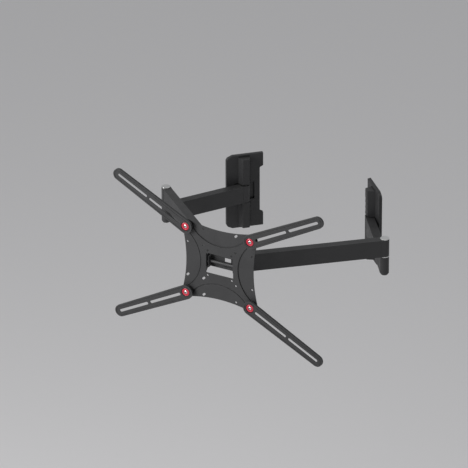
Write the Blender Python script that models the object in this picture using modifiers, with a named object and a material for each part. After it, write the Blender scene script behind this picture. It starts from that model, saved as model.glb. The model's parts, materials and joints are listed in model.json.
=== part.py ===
"""Full motion TV wall mount for a room corner.

Two wall plates stand on two walls.  Each carries a two-link arm, and both arms meet at one
head behind an X-shaped screen plate with four slotted adapter arms.

Metres, +Z up.  The screen faces -Y.  The origin is on the back face of the left wall plate,
straight behind its hinge, at the middle of its height.
"""
import math

import bmesh
import bpy
from mathutils import Matrix, Vector

MM = 0.001
GAP = 0.3 * MM                  # clearance between faces that touch
RUN = 0.2 * MM                  # radial clearance of a pin in its bore

# ---------------------------------------------------------------- driving dimensions
# layout, seen from above: the arms' lengths and their headings in the shown pose
REAR_LENGTH = 253 * MM          # wall hinge to elbow
FRONT_LENGTH = 390.5 * MM       # elbow to head hinge
REAR_HEADING = {"left": math.radians(238.1), "right": math.radians(-52.8)}
FRONT_HEADING = {"left": math.radians(139.4), "right": math.radians(42.2)}
WALL_TURN = {"left": math.radians(45), "right": math.radians(-45)}

# links: rectangular tubes with a round knuckle at each end
LINK_WIDTH = 24 * MM
LINK_HEIGHT = 50 * MM
LINK_WALL = 2.5 * MM
LINK_EDGE = 2.5 * MM
KNUCKLE_R = 12.6 * MM
FORK_WALL = 3 * MM              # top and bottom of a front link, which hold the head pin
FORK_DEPTH = 18 * MM            # the link's sides are open this far beyond the head pin
BOSS_DROP = 4 * MM              # how far the elbow boss of a rear link hangs below its tube
BOSS_TIP_R = 10 * MM
ELBOW_PIN_R = 5 * MM
ELBOW_CAP_THICK = 2.4 * MM
ELBOW_RING_THICK = 2.4 * MM
PIN_HEAD_R = 8 * MM
PIN_HEAD_THICK = 3.2 * MM

# wall plates and what they carry
PLATE_WIDTH = 98 * MM
PLATE_SHIFT = -3.5 * MM         # middle of a left plate from its hinge, along the wall
PLATE_HEIGHT = 226 * MM
PLATE_THICK = 3 * MM
TAB_REACH = 10 * MM             # tabs at the top and bottom of the side towards the corner
TAB_HEIGHT = 45 * MM
TAB_SLOPE = 5 * MM
CORNER_RUN = 18 * MM            # cut-off corners on the other side
CORNER_DROP = 13 * MM
SCREW_SLOT_R = 4 * MM
SCREW_SLOT_LENGTH = 18 * MM
SCREW_SPACING = 150 * MM
SCREW_OFFSET = 29 * MM
HINGE_DEPTH = 20 * MM           # hinge axis to the wall
WALL_PIN_R = 4 * MM
WALL_PIN_HEAD_R = 6.4 * MM
LUG_R = 7.6 * MM
LUG_THICK = 4 * MM
BUSH_THICK = 1.5 * MM
BUSH_R = 8 * MM
BRACKET_WIDTH = 34 * MM
BRACKET_MARGIN = 14 * MM        # bracket plate beyond its lugs

COVER_DEPTH = 9.5 * MM          # wings of the covers, from the wall
COVER_WALL = 1.8 * MM
COVER_EDGE = 1.6 * MM
RIDGE_DEPTH = 30 * MM           # central ridge, from the wall
RIDGE_TOP = 19 * MM
RIDGE_RUN = 8 * MM              # run of each sloping side of the ridge
RIDGE_END = 7 * MM              # the ridge starts this far inside the cover's end
MOUTH_WIDTH = 58 * MM           # opening that the rear link swings in
LOUVRE_PITCH = 17.6 * MM
LOUVRE_COUNT = 3
LOUVRE_DEPTH = 1.1 * MM

# head: a carrier with two flanges behind the screen plate
HEAD_HALF = 49 * MM             # head hinges to the middle plane
HEAD_BACK = 56 * MM             # head hinges behind the screen plate's front
FLANGE_THICK = 3 * MM
HEAD_PIN_R = 5 * MM
CARRIER_R = 13 * MM
CARRIER_FRONT = 24 * MM
CARRIER_BACK = 59 * MM
CARRIER_WINDOW = (2 * MM, 22 * MM)   # from left to right
CARRIER_WINDOW_HALF = 14 * MM
CHEEK_FRONT = 6 * MM
CHEEK_HALF_HEIGHT = 16 * MM
CARRIER_NECK = 42 * MM          # where the flanges start to widen

# tilt
TILT_BACK = 16 * MM
TILT_PIN_R = 4 * MM
TILT_HEAD_R = 7.5 * MM
TILT_HEAD_THICK = 5 * MM
TILT_WASHER_R = 9 * MM
TILT_WASHER_THICK = 1.2 * MM
EAR_R = 11.5 * MM
EAR_ROOT = 28 * MM

# screen plate
SCREW_HALF = 100 * MM           # adapter screws on a 200 mm square
PLATE_MID_HALF = 104 * MM       # middle of each concave side
PLATE_CORNER_R = 17 * MM
SHEET = 2.5 * MM
EMBOSS = 1 * MM                 # the cross stands this far in front of the side lobes
CROSS_MID_HALF = 58 * MM
CROSS_CORNER_R = 12.5 * MM
WINDOW_HALF = (42 * MM, 30 * MM)
HOLE_R = 3 * MM
SMALL_PATTERNS = (37.5 * MM, 50 * MM)
SIDE_PATTERN = 50 * MM          # holes beside the adapter screws
SLOT_TRAVEL = 7 * MM

# adapter arms: pressed pans that stand in front of the plate on a dished root
ARM_TIP_R = 17 * MM
ARM_REACH = 250 * MM            # screw to the tip's end
ARM_ANGLE = math.radians(27.6)
ARM_STAND = 12.5 * MM           # front of an arm from the plate's front
ARM_DEPTH = 6.5 * MM
ARM_EDGE = 3.3 * MM             # rounding of the front edge
ARM_SHEET = 2.2 * MM
ARM_SLOT_R = 4 * MM
ARM_SCREW_R = 4 * MM
DISC_R = 11.5 * MM
DISH_R = DISC_R + 1 * MM
ARM_ROOT_R = DISH_R + 8 * MM
ARM_SLOTS = ((DISH_R + 6 * MM, 126 * MM), (134 * MM, 235 * MM))   # from the screw
DISC_SINK = 0.8 * MM            # front of a clamp disc behind the arm's front
DISC_TAPER = 1.5 * MM
CAP_R = 5.2 * MM
CAP_THICK = 3 * MM
CAP_SINK = 0.2 * MM             # front of a screw's head behind the arm's front
NUT_R = 8 * MM
NUT_THICK = 5 * MM

ROUND = 24                      # sides of a round piece
SMALL_ROUND = 16
ARC_STEPS = 8

# ---------------------------------------------------------------- levels and places
FRONT_TOP = LINK_HEIGHT / 2
FRONT_BOTTOM = FRONT_TOP - LINK_HEIGHT
REAR_TOP = FRONT_BOTTOM - ELBOW_RING_THICK - 2 * GAP
REAR_BOTTOM = REAR_TOP - LINK_HEIGHT
REAR_MIDDLE = (REAR_TOP + REAR_BOTTOM) / 2


def heading(angle):
    """Unit vector in the XY plane."""
    return Vector((math.cos(angle), math.sin(angle), 0))


HEAD_AT = {"left": Vector((-HEAD_HALF, HEAD_BACK, 0)), "right": Vector((HEAD_HALF, HEAD_BACK, 0))}
ELBOW_AT = {side: HEAD_AT[side] + FRONT_LENGTH * heading(FRONT_HEADING[side]) for side in HEAD_AT}
WALL_HINGE_AT = {side: ELBOW_AT[side] - REAR_LENGTH * heading(REAR_HEADING[side])
                 for side in ELBOW_AT}
# a wall plate's own axes: X along the wall, +Y into the wall
INTO_WALL = {side: heading(WALL_TURN[side] + math.pi / 2) for side in WALL_TURN}
PLATE_AT = {side: WALL_HINGE_AT[side] + HINGE_DEPTH * INTO_WALL[side] for side in WALL_TURN}
ORIGIN = PLATE_AT["left"] + Vector((0, 0, REAR_MIDDLE))

# ---------------------------------------------------------------- finishes
FINISHES = {
    "black_powder_coat": ((0.022, 0.022, 0.023), 0.5, 0.0),
    "black_plastic": ((0.026, 0.026, 0.027), 0.58, 0.0),
    "bright_zinc": ((0.72, 0.72, 0.71), 0.3, 1.0),
    "red_plastic": ((0.62, 0.02, 0.03), 0.35, 0.0),
    "white_nylon": ((0.72, 0.71, 0.68), 0.5, 0.0),
}


def finish(name, piece_name):
    """A Principled material of its own for one piece."""
    color, roughness, metallic = FINISHES[name]
    material = bpy.data.materials.new(f"{name}_{piece_name}")
    material.use_nodes = True
    shader = material.node_tree.nodes["Principled BSDF"]
    shader.inputs["Base Color"].default_value = (*color, 1)
    shader.inputs["Roughness"].default_value = roughness
    shader.inputs["Metallic"].default_value = metallic
    material.diffuse_color = (*color, 1)
    return material


# ---------------------------------------------------------------- modelling helpers
def clear_scene():
    for item in list(bpy.data.objects):
        bpy.data.objects.remove(item, do_unlink=True)


clear_scene()
PARTS = bpy.data.collections.new("full_motion_tv_wall_mount")
CUTTERS = bpy.data.collections.new("cutters")
bpy.context.scene.collection.children.link(PARTS)
bpy.context.scene.collection.children.link(CUTTERS)


def raw_object(name, mesh):
    item = bpy.data.objects.new(name, mesh)
    PARTS.objects.link(item)
    return item


def box(name, low, high):
    """Box between two corners."""
    body = bmesh.new()
    bmesh.ops.create_cube(body, size=1)
    size = Vector(high) - Vector(low)
    middle = (Vector(high) + Vector(low)) / 2
    bmesh.ops.transform(body, matrix=Matrix.Translation(middle) @ Matrix.Diagonal((*size, 1)),
                        verts=body.verts)
    mesh = bpy.data.meshes.new(name)
    body.to_mesh(mesh)
    body.free()
    return raw_object(name, mesh)


def rod(name, radius, start, end, sides=ROUND, end_radius=None):
    """Cylinder or cone between two points."""
    start, end = Vector(start), Vector(end)
    along = end - start
    body = bmesh.new()
    bmesh.ops.create_cone(body, cap_ends=True, segments=sides, radius1=radius,
                          radius2=radius if end_radius is None else end_radius,
                          depth=along.length)
    turn = Vector((0, 0, 1)).rotation_difference(along.normalized()).to_matrix().to_4x4()
    bmesh.ops.transform(body, matrix=Matrix.Translation((start + end) / 2) @ turn,
                        verts=body.verts)
    mesh = bpy.data.meshes.new(name)
    body.to_mesh(mesh)
    body.free()
    return raw_object(name, mesh)


def turned(name, profile, sides=ROUND):
    """Turned piece about Z: the profile is (radius, height) down its outer side."""
    mesh = bpy.data.meshes.new(name)
    points = [(radius, 0, height) for radius, height in profile]
    mesh.from_pydata(points, [(i, i + 1) for i in range(len(points) - 1)], [])
    item = raw_object(name, mesh)
    screw = item.modifiers.new("turn", "SCREW")
    screw.steps = screw.render_steps = sides
    screw.use_merge_vertices = True
    screw.merge_threshold = 0.00001
    return applied(item)


def slab(name, outline, low, high, upright=True):
    """Flat outline thickened from low to high.

    upright: the outline lies in XZ and the thickness runs along Y; otherwise in XY, along Z.
    """
    curve = bpy.data.curves.new(name, "CURVE")
    curve.dimensions = "2D"
    curve.fill_mode = "BOTH"
    curve.extrude = (high - low) / 2
    spline = curve.splines.new("POLY")
    spline.points.add(len(outline) - 1)
    for point, (u, v) in zip(spline.points, outline):
        point.co = (u, v, 0, 1)
    spline.use_cyclic_u = True
    item = raw_object(name, curve)
    middle = (low + high) / 2
    if upright:
        item.matrix_world = Matrix.Translation((0, middle, 0)) @ Matrix.Rotation(math.pi / 2, 4, "X")
    else:
        item.matrix_world = Matrix.Translation((0, 0, middle))
    return applied(item)


def applied(item):
    """The evaluated shape of an object as a plain welded mesh at the origin."""
    bpy.context.view_layer.update()
    graph = bpy.context.evaluated_depsgraph_get()
    mesh = bpy.data.meshes.new_from_object(item.evaluated_get(graph))
    body = bmesh.new()
    body.from_mesh(mesh)
    bmesh.ops.transform(body, matrix=item.matrix_world, verts=body.verts)
    bmesh.ops.remove_doubles(body, verts=body.verts, dist=0.000001)
    bmesh.ops.recalc_face_normals(body, faces=body.faces)
    body.to_mesh(mesh)
    body.free()
    name = item.name
    for helper in (*item.children_recursive, item):
        bpy.data.objects.remove(helper, do_unlink=True)
    return raw_object(name, mesh)


def moved(item, matrix):
    item.data.transform(matrix)
    return item


def mirrored(item):
    """The same piece for the other hand."""
    item = moved(applied(item), Matrix.Scale(-1, 4, (1, 0, 0)))
    item.data.flip_normals()
    return item


def boolean(item, other, operation):
    """Cut or join one more shape; the other shape becomes a hidden helper."""
    step = item.modifiers.new(other.name, "BOOLEAN")
    step.operation = operation
    step.solver = "EXACT"
    step.object = other
    PARTS.objects.unlink(other)
    CUTTERS.objects.link(other)
    other.hide_render = True
    other.display_type = "WIRE"
    other.name = f"cutter_{item.name}"
    other.parent = item
    return item


def cut(item, *others):
    for other in others:
        boolean(item, other, "DIFFERENCE")
    return item


def join(item, *others):
    for other in others:
        boolean(item, other, "UNION")
    return item


def bevel(item, width, segments=2, angle=30):
    step = item.modifiers.new("edges", "BEVEL")
    step.width = width
    step.segments = segments
    step.limit_method = "ANGLE"
    step.angle_limit = math.radians(angle)
    step.use_clamp_overlap = True
    return applied(item)


def arc(center, radius, start, end, steps=ARC_STEPS):
    """Points of an arc, both ends included."""
    return [(center[0] + radius * math.cos(start + (end - start) * i / steps),
             center[1] + radius * math.sin(start + (end - start) * i / steps))
            for i in range(steps + 1)]


def stadium(start, end, radius_start, radius_end=None, steps=ARC_STEPS):
    """Outline around two end circles on the first axis, sides tangent to both."""
    radius_end = radius_start if radius_end is None else radius_end
    lean = math.asin((radius_start - radius_end) / (end - start))
    top = math.pi / 2 - lean
    return (arc((end, 0), radius_end, -top, top, steps)
            + arc((start, 0), radius_start, top, 2 * math.pi - top, steps))


def placed(item, at, turn=0.0):
    """Puts a finished shape at its place, in the layout seen from above."""
    item.location = Vector(at) - ORIGIN
    item.rotation_euler = (0, 0, turn)
    return item


def pivot(name, at, parent=None):
    """An empty on a joint's axis, the parent of what moves with it."""
    item = bpy.data.objects.new(name, None)
    item.empty_display_size = 0.03
    PARTS.objects.link(item)
    item.location = Vector(at) - ORIGIN
    if parent:
        bpy.context.view_layer.update()
        item.parent = parent
        item.matrix_parent_inverse = parent.matrix_world.inverted()
    bpy.context.view_layer.update()
    return item


def finished(item, name, material_name, parent):
    """Names a piece, gives it its finish and hangs it on its joint's empty."""
    item.name = name
    item.data.name = name
    item.data.materials.clear()
    item.data.materials.append(finish(material_name, name))
    item.data.shade_smooth()
    item.data.set_sharp_from_angle(angle=math.radians(35))
    bpy.context.view_layer.update()
    item.parent = parent
    item.matrix_parent_inverse = parent.matrix_world.inverted()
    return item


# ---------------------------------------------------------------- wall plates and covers
def plate_outline(inset=0.0):
    """Outline of the left wall plate in its own X and Z; the tabs are on the +X side."""
    left = PLATE_SHIFT - PLATE_WIDTH / 2 + inset
    right = PLATE_SHIFT + PLATE_WIDTH / 2 - inset
    top = PLATE_HEIGHT / 2 - inset
    tab_end = top - TAB_HEIGHT
    upper = [(left, top - CORNER_DROP), (left + CORNER_RUN * 0.22, top - CORNER_DROP * 0.5),
             (left + CORNER_RUN, top), (right + TAB_REACH, top),
             (right + TAB_REACH, tab_end + TAB_SLOPE), (right, tab_end)]
    lower = [(x, -z) for x, z in reversed(upper)]
    return upper + lower


def wall_plate():
    plate = slab("plate", plate_outline(), -PLATE_THICK, 0)
    slots = []
    for x in (PLATE_SHIFT - SCREW_OFFSET, PLATE_SHIFT + SCREW_OFFSET):
        for z in (-SCREW_SPACING / 2, SCREW_SPACING / 2):
            half = SCREW_SLOT_LENGTH / 2 - SCREW_SLOT_R
            hole = slab("hole", stadium(-half, half, SCREW_SLOT_R, steps=6),
                        -PLATE_THICK - GAP, GAP)
            slots.append(moved(hole, Matrix.Translation((x, 0, z))))
    return cut(plate, *slots)


def lug_levels():
    """Bottom and top of each of the bracket's two lugs, from the link's middle."""
    near = LINK_HEIGHT / 2 + BUSH_THICK + 2 * GAP
    return ((near, near + LUG_THICK), (-near - LUG_THICK, -near))


def hinge_bracket():
    """Channel on the plate whose two lugs hold the wall pin."""
    back = -PLATE_THICK - GAP
    levels = lug_levels()
    half_height = levels[0][1] + BRACKET_MARGIN
    web = box("web", (-BRACKET_WIDTH / 2, back - PLATE_THICK, -half_height),
              (BRACKET_WIDTH / 2, back, half_height))
    for low, high in levels:
        lug = box("lug", (-LUG_R, -HINGE_DEPTH, low), (LUG_R, back - PLATE_THICK / 2, high))
        eye = rod("eye", LUG_R, (0, -HINGE_DEPTH, low), (0, -HINGE_DEPTH, high))
        join(web, lug, eye)
    bore = rod("bore", WALL_PIN_R + RUN, (0, -HINGE_DEPTH, -half_height),
               (0, -HINGE_DEPTH, half_height), SMALL_ROUND)
    return cut(web, bore)


def ridge_prism(low, high, inset=0.0, depth_loss=0.0):
    """The ridge's solid, a trapezoid drawn from above, between two heights."""
    front = -RIDGE_DEPTH + inset + depth_loss
    slope = RIDGE_RUN / (RIDGE_DEPTH - COVER_DEPTH)
    foot = -COVER_DEPTH + inset + 2 * COVER_WALL
    top = RIDGE_TOP / 2 - inset + depth_loss * slope
    bottom = top + (foot - front) * slope
    outline = [(-bottom, foot), (-top, front), (top, front), (bottom, foot)]
    return slab("ridge", outline, low, high, upright=False)


def cover(low, high, ridge_low, ridge_high):
    """Moulded shell over a wall plate from low to high, open at the back."""
    back = -PLATE_THICK - GAP
    shell = bevel(slab("shell", plate_outline(), -COVER_DEPTH, 0), COVER_EDGE, 2, 40)
    wide = PLATE_WIDTH
    shell = join(shell, ridge_prism(ridge_low, ridge_high))
    cut(shell, box("back", (-wide, back, -1), (wide, 1, 1)))
    hollow = slab("hollow", plate_outline(COVER_WALL), -COVER_DEPTH + COVER_WALL, MM)
    cut(hollow, box("above", (-wide, -1, high - COVER_WALL), (wide, 1, 1)),
        box("below", (-wide, -1, -1), (wide, 1, low + COVER_WALL)))
    return cut(shell, applied(hollow), box("above", (-wide, -1, high), (wide, 1, 1)),
               box("below", (-wide, -1, -1), (wide, 1, low)))


def louvres(top):
    """Saw-tooth cutter: each tooth starts deep at its top and runs out to the front."""
    front = -RIDGE_DEPTH - MM
    wide = RIDGE_TOP / 2 + RIDGE_RUN + 2 * MM
    deep = -RIDGE_DEPTH + LOUVRE_DEPTH
    shallow = -RIDGE_DEPTH + LOUVRE_DEPTH * 0.2
    outline = [(front, top)]
    for step in range(LOUVRE_COUNT):
        outline.append((deep, top - step * LOUVRE_PITCH))
        outline.append((shallow, top - (step + 0.82) * LOUVRE_PITCH))
    bottom = top - (LOUVRE_COUNT + 0.3) * LOUVRE_PITCH
    outline += [(deep, top - LOUVRE_COUNT * LOUVRE_PITCH), (deep, bottom), (front, bottom)]
    teeth = slab("teeth", [(y, z) for y, z in outline], -wide, wide)
    return moved(teeth, Matrix.Rotation(math.pi / 2, 4, "Z"))


def upper_cover():
    """Its wings run down past the link; its ridge stops above it and has louvres."""
    split = -LINK_HEIGHT / 2 - BUSH_THICK - GAP
    ridge_low = LINK_HEIGHT / 2 + BUSH_THICK
    top = PLATE_HEIGHT / 2
    shell = cover(split, top, 0, top - RIDGE_END)
    throat = ridge_prism(-MM, top - RIDGE_END - COVER_WALL, COVER_WALL)
    mouth = box("mouth", (-MOUTH_WIDTH / 2, -1, -1), (MOUTH_WIDTH / 2, 1, ridge_low))
    louvre_top = ridge_low + LOUVRE_COUNT * LOUVRE_PITCH
    return cut(shell, throat, mouth, louvres(louvre_top))


def lower_cover():
    top = -LINK_HEIGHT / 2 - BUSH_THICK - 2 * GAP
    bottom = -PLATE_HEIGHT / 2
    shell = cover(bottom, top, bottom + RIDGE_END, top + MM)
    throat = ridge_prism(bottom + RIDGE_END + COVER_WALL, top + 2 * MM, COVER_WALL)
    half = BRACKET_WIDTH / 2 + MM
    relief = box("relief", (-half, -COVER_DEPTH + 1.1 * COVER_WALL, top - BRACKET_MARGIN),
                 (half, MM, top + MM))
    return cut(shell, throat, relief)


def pin(name, radius, low, high, head_radius, head_thick):
    """Riveted pin with a chamfered head beyond each end of its shank."""
    edge = head_thick * 0.25
    profile = [(0, high + head_thick), (head_radius - edge, high + head_thick),
               (head_radius, high + head_thick - edge), (head_radius, high), (radius, high),
               (radius, low), (head_radius, low), (head_radius, low - head_thick + edge),
               (head_radius - edge, low - head_thick), (0, low - head_thick)]
    return turned(name, profile, SMALL_ROUND)


def bush(name, outer, inner, low, high):
    """Plain nylon ring."""
    ring = rod(name, outer, (0, 0, low), (0, 0, high), SMALL_ROUND)
    return cut(ring, rod("bore", inner, (0, 0, low - MM), (0, 0, high + MM), SMALL_ROUND))


def washer(name, outer, inner, low, high, sides=ROUND):
    edge = min(0.35 * MM, (high - low) / 4)
    ring = turned(name, [(0, high), (outer - edge, high), (outer, high - edge),
                         (outer, low + edge), (outer - edge, low), (0, low)], sides)
    return cut(ring, rod("bore", inner, (0, 0, low - MM), (0, 0, high + MM), sides))


def make_wall_set(side, parent):
    """Everything that stays on one wall."""
    at = PLATE_AT[side] + Vector((0, 0, REAR_MIDDLE))
    turn = WALL_TURN[side]
    hinge = WALL_HINGE_AT[side] + Vector((0, 0, REAR_MIDDLE))
    pieces = (("wall_plate", wall_plate(), "black_powder_coat"),
              ("hinge_bracket", hinge_bracket(), "black_powder_coat"),
              ("upper_cover", upper_cover(), "black_plastic"),
              ("lower_cover", lower_cover(), "black_plastic"))
    for name, item, look in pieces:
        if side == "right":
            item = mirrored(item)
        finished(placed(item, at, turn), f"{name}_{side}", look, parent)
    levels = lug_levels()
    wall_pin = pin("pin", WALL_PIN_R, levels[1][0] - GAP, levels[0][1] + GAP, WALL_PIN_HEAD_R,
                   PIN_HEAD_THICK)
    finished(placed(wall_pin, hinge), f"wall_pin_{side}", "bright_zinc", parent)
    near = LINK_HEIGHT / 2 + GAP
    for name, low in (("upper", near), ("lower", -near - BUSH_THICK)):
        ring = bush("bush", BUSH_R, WALL_PIN_R + RUN, low, low + BUSH_THICK)
        finished(placed(ring, hinge), f"wall_bush_{name}_{side}", "white_nylon", parent)


# ---------------------------------------------------------------- links and elbows
def link(length, bore_near, bore_far, low, high):
    """Tube with round ends along +X, hollow, open into the bore at its far end."""
    bar = slab("bar", stadium(0, length, KNUCKLE_R), low, high, upright=False)
    waist = KNUCKLE_R - LINK_WIDTH / 2
    sides = []
    for sign in (-1, 1):
        y = sign * (LINK_WIDTH / 2 + waist)
        edges = sorted((sign * LINK_WIDTH / 2, y + sign * MM))
        sides.append(box("flat", (KNUCKLE_R, edges[0], low - MM),
                         (length - KNUCKLE_R, edges[1], high + MM)))
    bar = bevel(cut(bar, *sides), LINK_EDGE, 2, 60)
    inner = LINK_WIDTH / 2 - LINK_WALL
    neck = length - KNUCKLE_R * 1.5
    hollow = box("hollow", (KNUCKLE_R * 1.5, -inner, low + LINK_WALL),
                 (neck, inner, high - LINK_WALL))
    ends = (rod("bore", bore_near, (0, 0, low - 20 * MM), (0, 0, high + MM), SMALL_ROUND),
            rod("bore", bore_far, (length, 0, low - 20 * MM), (length, 0, high + MM),
                SMALL_ROUND))
    throat = box("throat", (neck - MM, -bore_far * 0.6, low + 3 * LINK_WALL),
                 (length, bore_far * 0.6, high - 3 * LINK_WALL))
    return bar, (hollow, throat, *ends)


def rear_link():
    low, high = -LINK_HEIGHT / 2, LINK_HEIGHT / 2
    bar, cuts = link(REAR_LENGTH, WALL_PIN_R + RUN, ELBOW_PIN_R + RUN, low, high)
    boss = rod("boss", BOSS_TIP_R, (REAR_LENGTH, 0, low - BOSS_DROP),
               (REAR_LENGTH, 0, low + LINK_EDGE * 2), ROUND, KNUCKLE_R - 0.4 * MM)
    return cut(join(bar, boss), *cuts)


def front_link():
    """Drawn from the head hinge to the elbow."""
    low, high = FRONT_BOTTOM, FRONT_TOP
    bar, cuts = link(FRONT_LENGTH, HEAD_PIN_R + RUN, ELBOW_PIN_R + RUN, low, high)
    fork = box("fork", (-KNUCKLE_R - MM, -LINK_WIDTH, low + FORK_WALL),
               (FORK_DEPTH, LINK_WIDTH, high - FORK_WALL))
    return cut(bar, *cuts, fork)


def make_arm(side, rear_parent, front_parent):
    hinge = WALL_HINGE_AT[side] + Vector((0, 0, REAR_MIDDLE))
    elbow = ELBOW_AT[side]
    finished(placed(rear_link(), hinge, REAR_HEADING[side]), f"rear_link_{side}",
             "black_powder_coat", rear_parent)
    finished(placed(front_link(), HEAD_AT[side], FRONT_HEADING[side]), f"front_link_{side}",
             "black_powder_coat", front_parent)
    bottom = REAR_BOTTOM - BOSS_DROP
    elbow_pin = turned("pin", [(0, FRONT_TOP - GAP), (ELBOW_PIN_R, FRONT_TOP - GAP),
                               (ELBOW_PIN_R, bottom - GAP), (PIN_HEAD_R, bottom - GAP),
                               (PIN_HEAD_R, bottom - PIN_HEAD_THICK * 0.7),
                               (PIN_HEAD_R * 0.8, bottom - PIN_HEAD_THICK),
                               (0, bottom - PIN_HEAD_THICK)])
    finished(placed(elbow_pin, elbow), f"elbow_pin_{side}", "bright_zinc", rear_parent)
    ring = washer("ring", KNUCKLE_R + 0.4 * MM, ELBOW_PIN_R + RUN, REAR_TOP + GAP,
                  REAR_TOP + GAP + ELBOW_RING_THICK)
    finished(placed(ring, elbow), f"elbow_ring_{side}", "bright_zinc", rear_parent)
    base = FRONT_TOP + GAP
    cap = turned("cap", [(0, base + ELBOW_CAP_THICK), (KNUCKLE_R * 0.6, base + ELBOW_CAP_THICK),
                         (KNUCKLE_R - 0.8 * MM, base + ELBOW_CAP_THICK * 0.8),
                         (KNUCKLE_R, base + ELBOW_CAP_THICK * 0.45), (KNUCKLE_R, base),
                         (0, base)])
    finished(placed(cap, elbow), f"elbow_cap_{side}", "bright_zinc", front_parent)


# ---------------------------------------------------------------- head
def flange_levels():
    """Bottom and top of each flange, inside the forked ends of the front links."""
    room = FORK_WALL + BUSH_THICK + 2 * GAP
    upper, lower = FRONT_TOP - room, FRONT_BOTTOM + room
    return ((upper - FLANGE_THICK, upper), (lower, lower + FLANGE_THICK))


def cheek_half():
    """Outer half width over the carrier's cheeks, inside the plate's ears and washers."""
    return WINDOW_HALF[0] - TILT_WASHER_THICK - 2 * GAP


def head_carrier():
    outer = cheek_half()
    waist = HEAD_HALF - 1.3 * CARRIER_R
    shape = ([(outer, CARRIER_FRONT), (outer, CARRIER_NECK)]
             + arc((HEAD_HALF, HEAD_BACK), CARRIER_R, -math.pi / 4, 3 * math.pi / 4)
             + [(waist, CARRIER_BACK), (-waist, CARRIER_BACK)]
             + arc((-HEAD_HALF, HEAD_BACK), CARRIER_R, math.pi / 4, 5 * math.pi / 4)
             + [(-outer, CARRIER_NECK), (-outer, CARRIER_FRONT)])
    (upper_low, upper_high), (lower_low, lower_high) = flange_levels()
    top = slab("flange", shape, upper_low, upper_high, upright=False)
    bottom = slab("flange", shape, lower_low, lower_high, upright=False)
    inset = FLANGE_THICK / 6
    web = box("web", (-outer + inset, CARRIER_FRONT + inset, lower_low + inset),
              (outer - inset, CARRIER_FRONT + FLANGE_THICK, upper_high - inset))
    body = join(top, bottom, web)
    for sign in (-1, 1):
        edges = sorted((sign * outer, sign * (outer - FLANGE_THICK)))
        cheek = box("cheek", (edges[0], CHEEK_FRONT, -CHEEK_HALF_HEIGHT),
                    (edges[1], CARRIER_FRONT + FLANGE_THICK / 2, CHEEK_HALF_HEIGHT))
        join(body, cheek)
    window = box("window", (CARRIER_WINDOW[0], 0, -CARRIER_WINDOW_HALF),
                 (CARRIER_WINDOW[1], CARRIER_NECK, CARRIER_WINDOW_HALF))
    tilt_bore = rod("bore", TILT_PIN_R + RUN, (-1, TILT_BACK, 0), (1, TILT_BACK, 0),
                    SMALL_ROUND)
    bores = [rod("bore", HEAD_PIN_R + RUN, (x, HEAD_BACK, -1), (x, HEAD_BACK, 1), SMALL_ROUND)
             for x in (-HEAD_HALF, HEAD_HALF)]
    return cut(body, window, tilt_bore, *bores)


def make_head(parent):
    finished(placed(head_carrier(), (0, 0, 0)), "head_carrier", "black_powder_coat", parent)
    levels = flange_levels()
    for side, at in HEAD_AT.items():
        head_pin = pin("pin", HEAD_PIN_R, FRONT_BOTTOM - GAP, FRONT_TOP + GAP, PIN_HEAD_R,
                       PIN_HEAD_THICK)
        finished(placed(head_pin, at), f"head_pin_{side}", "bright_zinc", parent)
        for name, low in (("upper", levels[0][1] + GAP),
                          ("lower", levels[1][0] - GAP - BUSH_THICK)):
            ring = bush("bush", KNUCKLE_R - MM, HEAD_PIN_R + RUN, low, low + BUSH_THICK)
            finished(placed(ring, at), f"head_bush_{name}_{side}", "white_nylon", parent)


# ---------------------------------------------------------------- screen plate
def cross_outline(mid_half, corner_r, steps):
    """Four concave sides, each an arc tangent to the round corners at the adapter screws."""
    c = SCREW_HALF
    side_r = (c * c + (mid_half - c) ** 2 - corner_r ** 2) / (2 * (corner_r - (mid_half - c)))
    reach = math.atan2(c, mid_half + side_r - c)
    outline = []
    for quarter in range(4):
        turn = quarter * math.pi / 2
        side = arc((0, mid_half + side_r), side_r, -math.pi / 2 + reach, -math.pi / 2 - reach,
                   steps)
        corner = arc((-c, c), corner_r, math.pi / 2 - reach, math.pi + reach, 6)
        for u, v in side + corner[1:-1]:
            outline.append((u * math.cos(turn) - v * math.sin(turn),
                            u * math.sin(turn) + v * math.cos(turn)))
    return outline


def ear(sign):
    """Side of the window bent back, rounded about the tilt axis."""
    inner = WINDOW_HALF[0] + GAP / 3
    low, high = sorted((sign * inner, sign * (inner + SHEET)))
    root = TILT_BACK - SHEET / 2
    side = (math.atan2(EAR_ROOT, -root)
            - math.acos(EAR_R / math.hypot(root, EAR_ROOT)))
    shape = ([(SHEET / 2, -EAR_ROOT)]
             + arc((TILT_BACK, 0), EAR_R, -side, side, 12)
             + [(SHEET / 2, EAR_ROOT)])
    plate = slab("ear", [(u, v) for u, v in shape], -high, -low)
    return moved(plate, Matrix.Rotation(math.pi / 2, 4, "Z"))


def plate_holes():
    """Round holes and short slanting slots of the screen patterns."""
    near, far = -MM, EMBOSS + SHEET + MM
    holes = []
    for half in SMALL_PATTERNS:
        for sx in (-1, 1):
            for sz in (-1, 1):
                slotted = half == SMALL_PATTERNS[1] and sx == sz == -1
                holes.append((sx * half, sz * half, slotted))
    for sx in (-1, 1):
        for sz in (-1, 1):
            x, z = sx * SCREW_HALF, sz * SIDE_PATTERN
            holes.append((x, z, sx == sz == -1))
            holes.append((sx * SIDE_PATTERN, sz * SCREW_HALF, sx * sz == 1))
    cutters = []
    for x, z, slotted in holes:
        if slotted:
            hole = slab("hole", stadium(-SLOT_TRAVEL / 2, SLOT_TRAVEL / 2, HOLE_R, steps=5),
                        near, far)
            moved(hole, Matrix.Rotation(-math.pi / 4, 4, "Y"))
        else:
            hole = rod("hole", HOLE_R, (0, near, 0), (0, far, 0), 12)
        cutters.append(moved(hole, Matrix.Translation((x, 0, z))))
    return cutters


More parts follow.
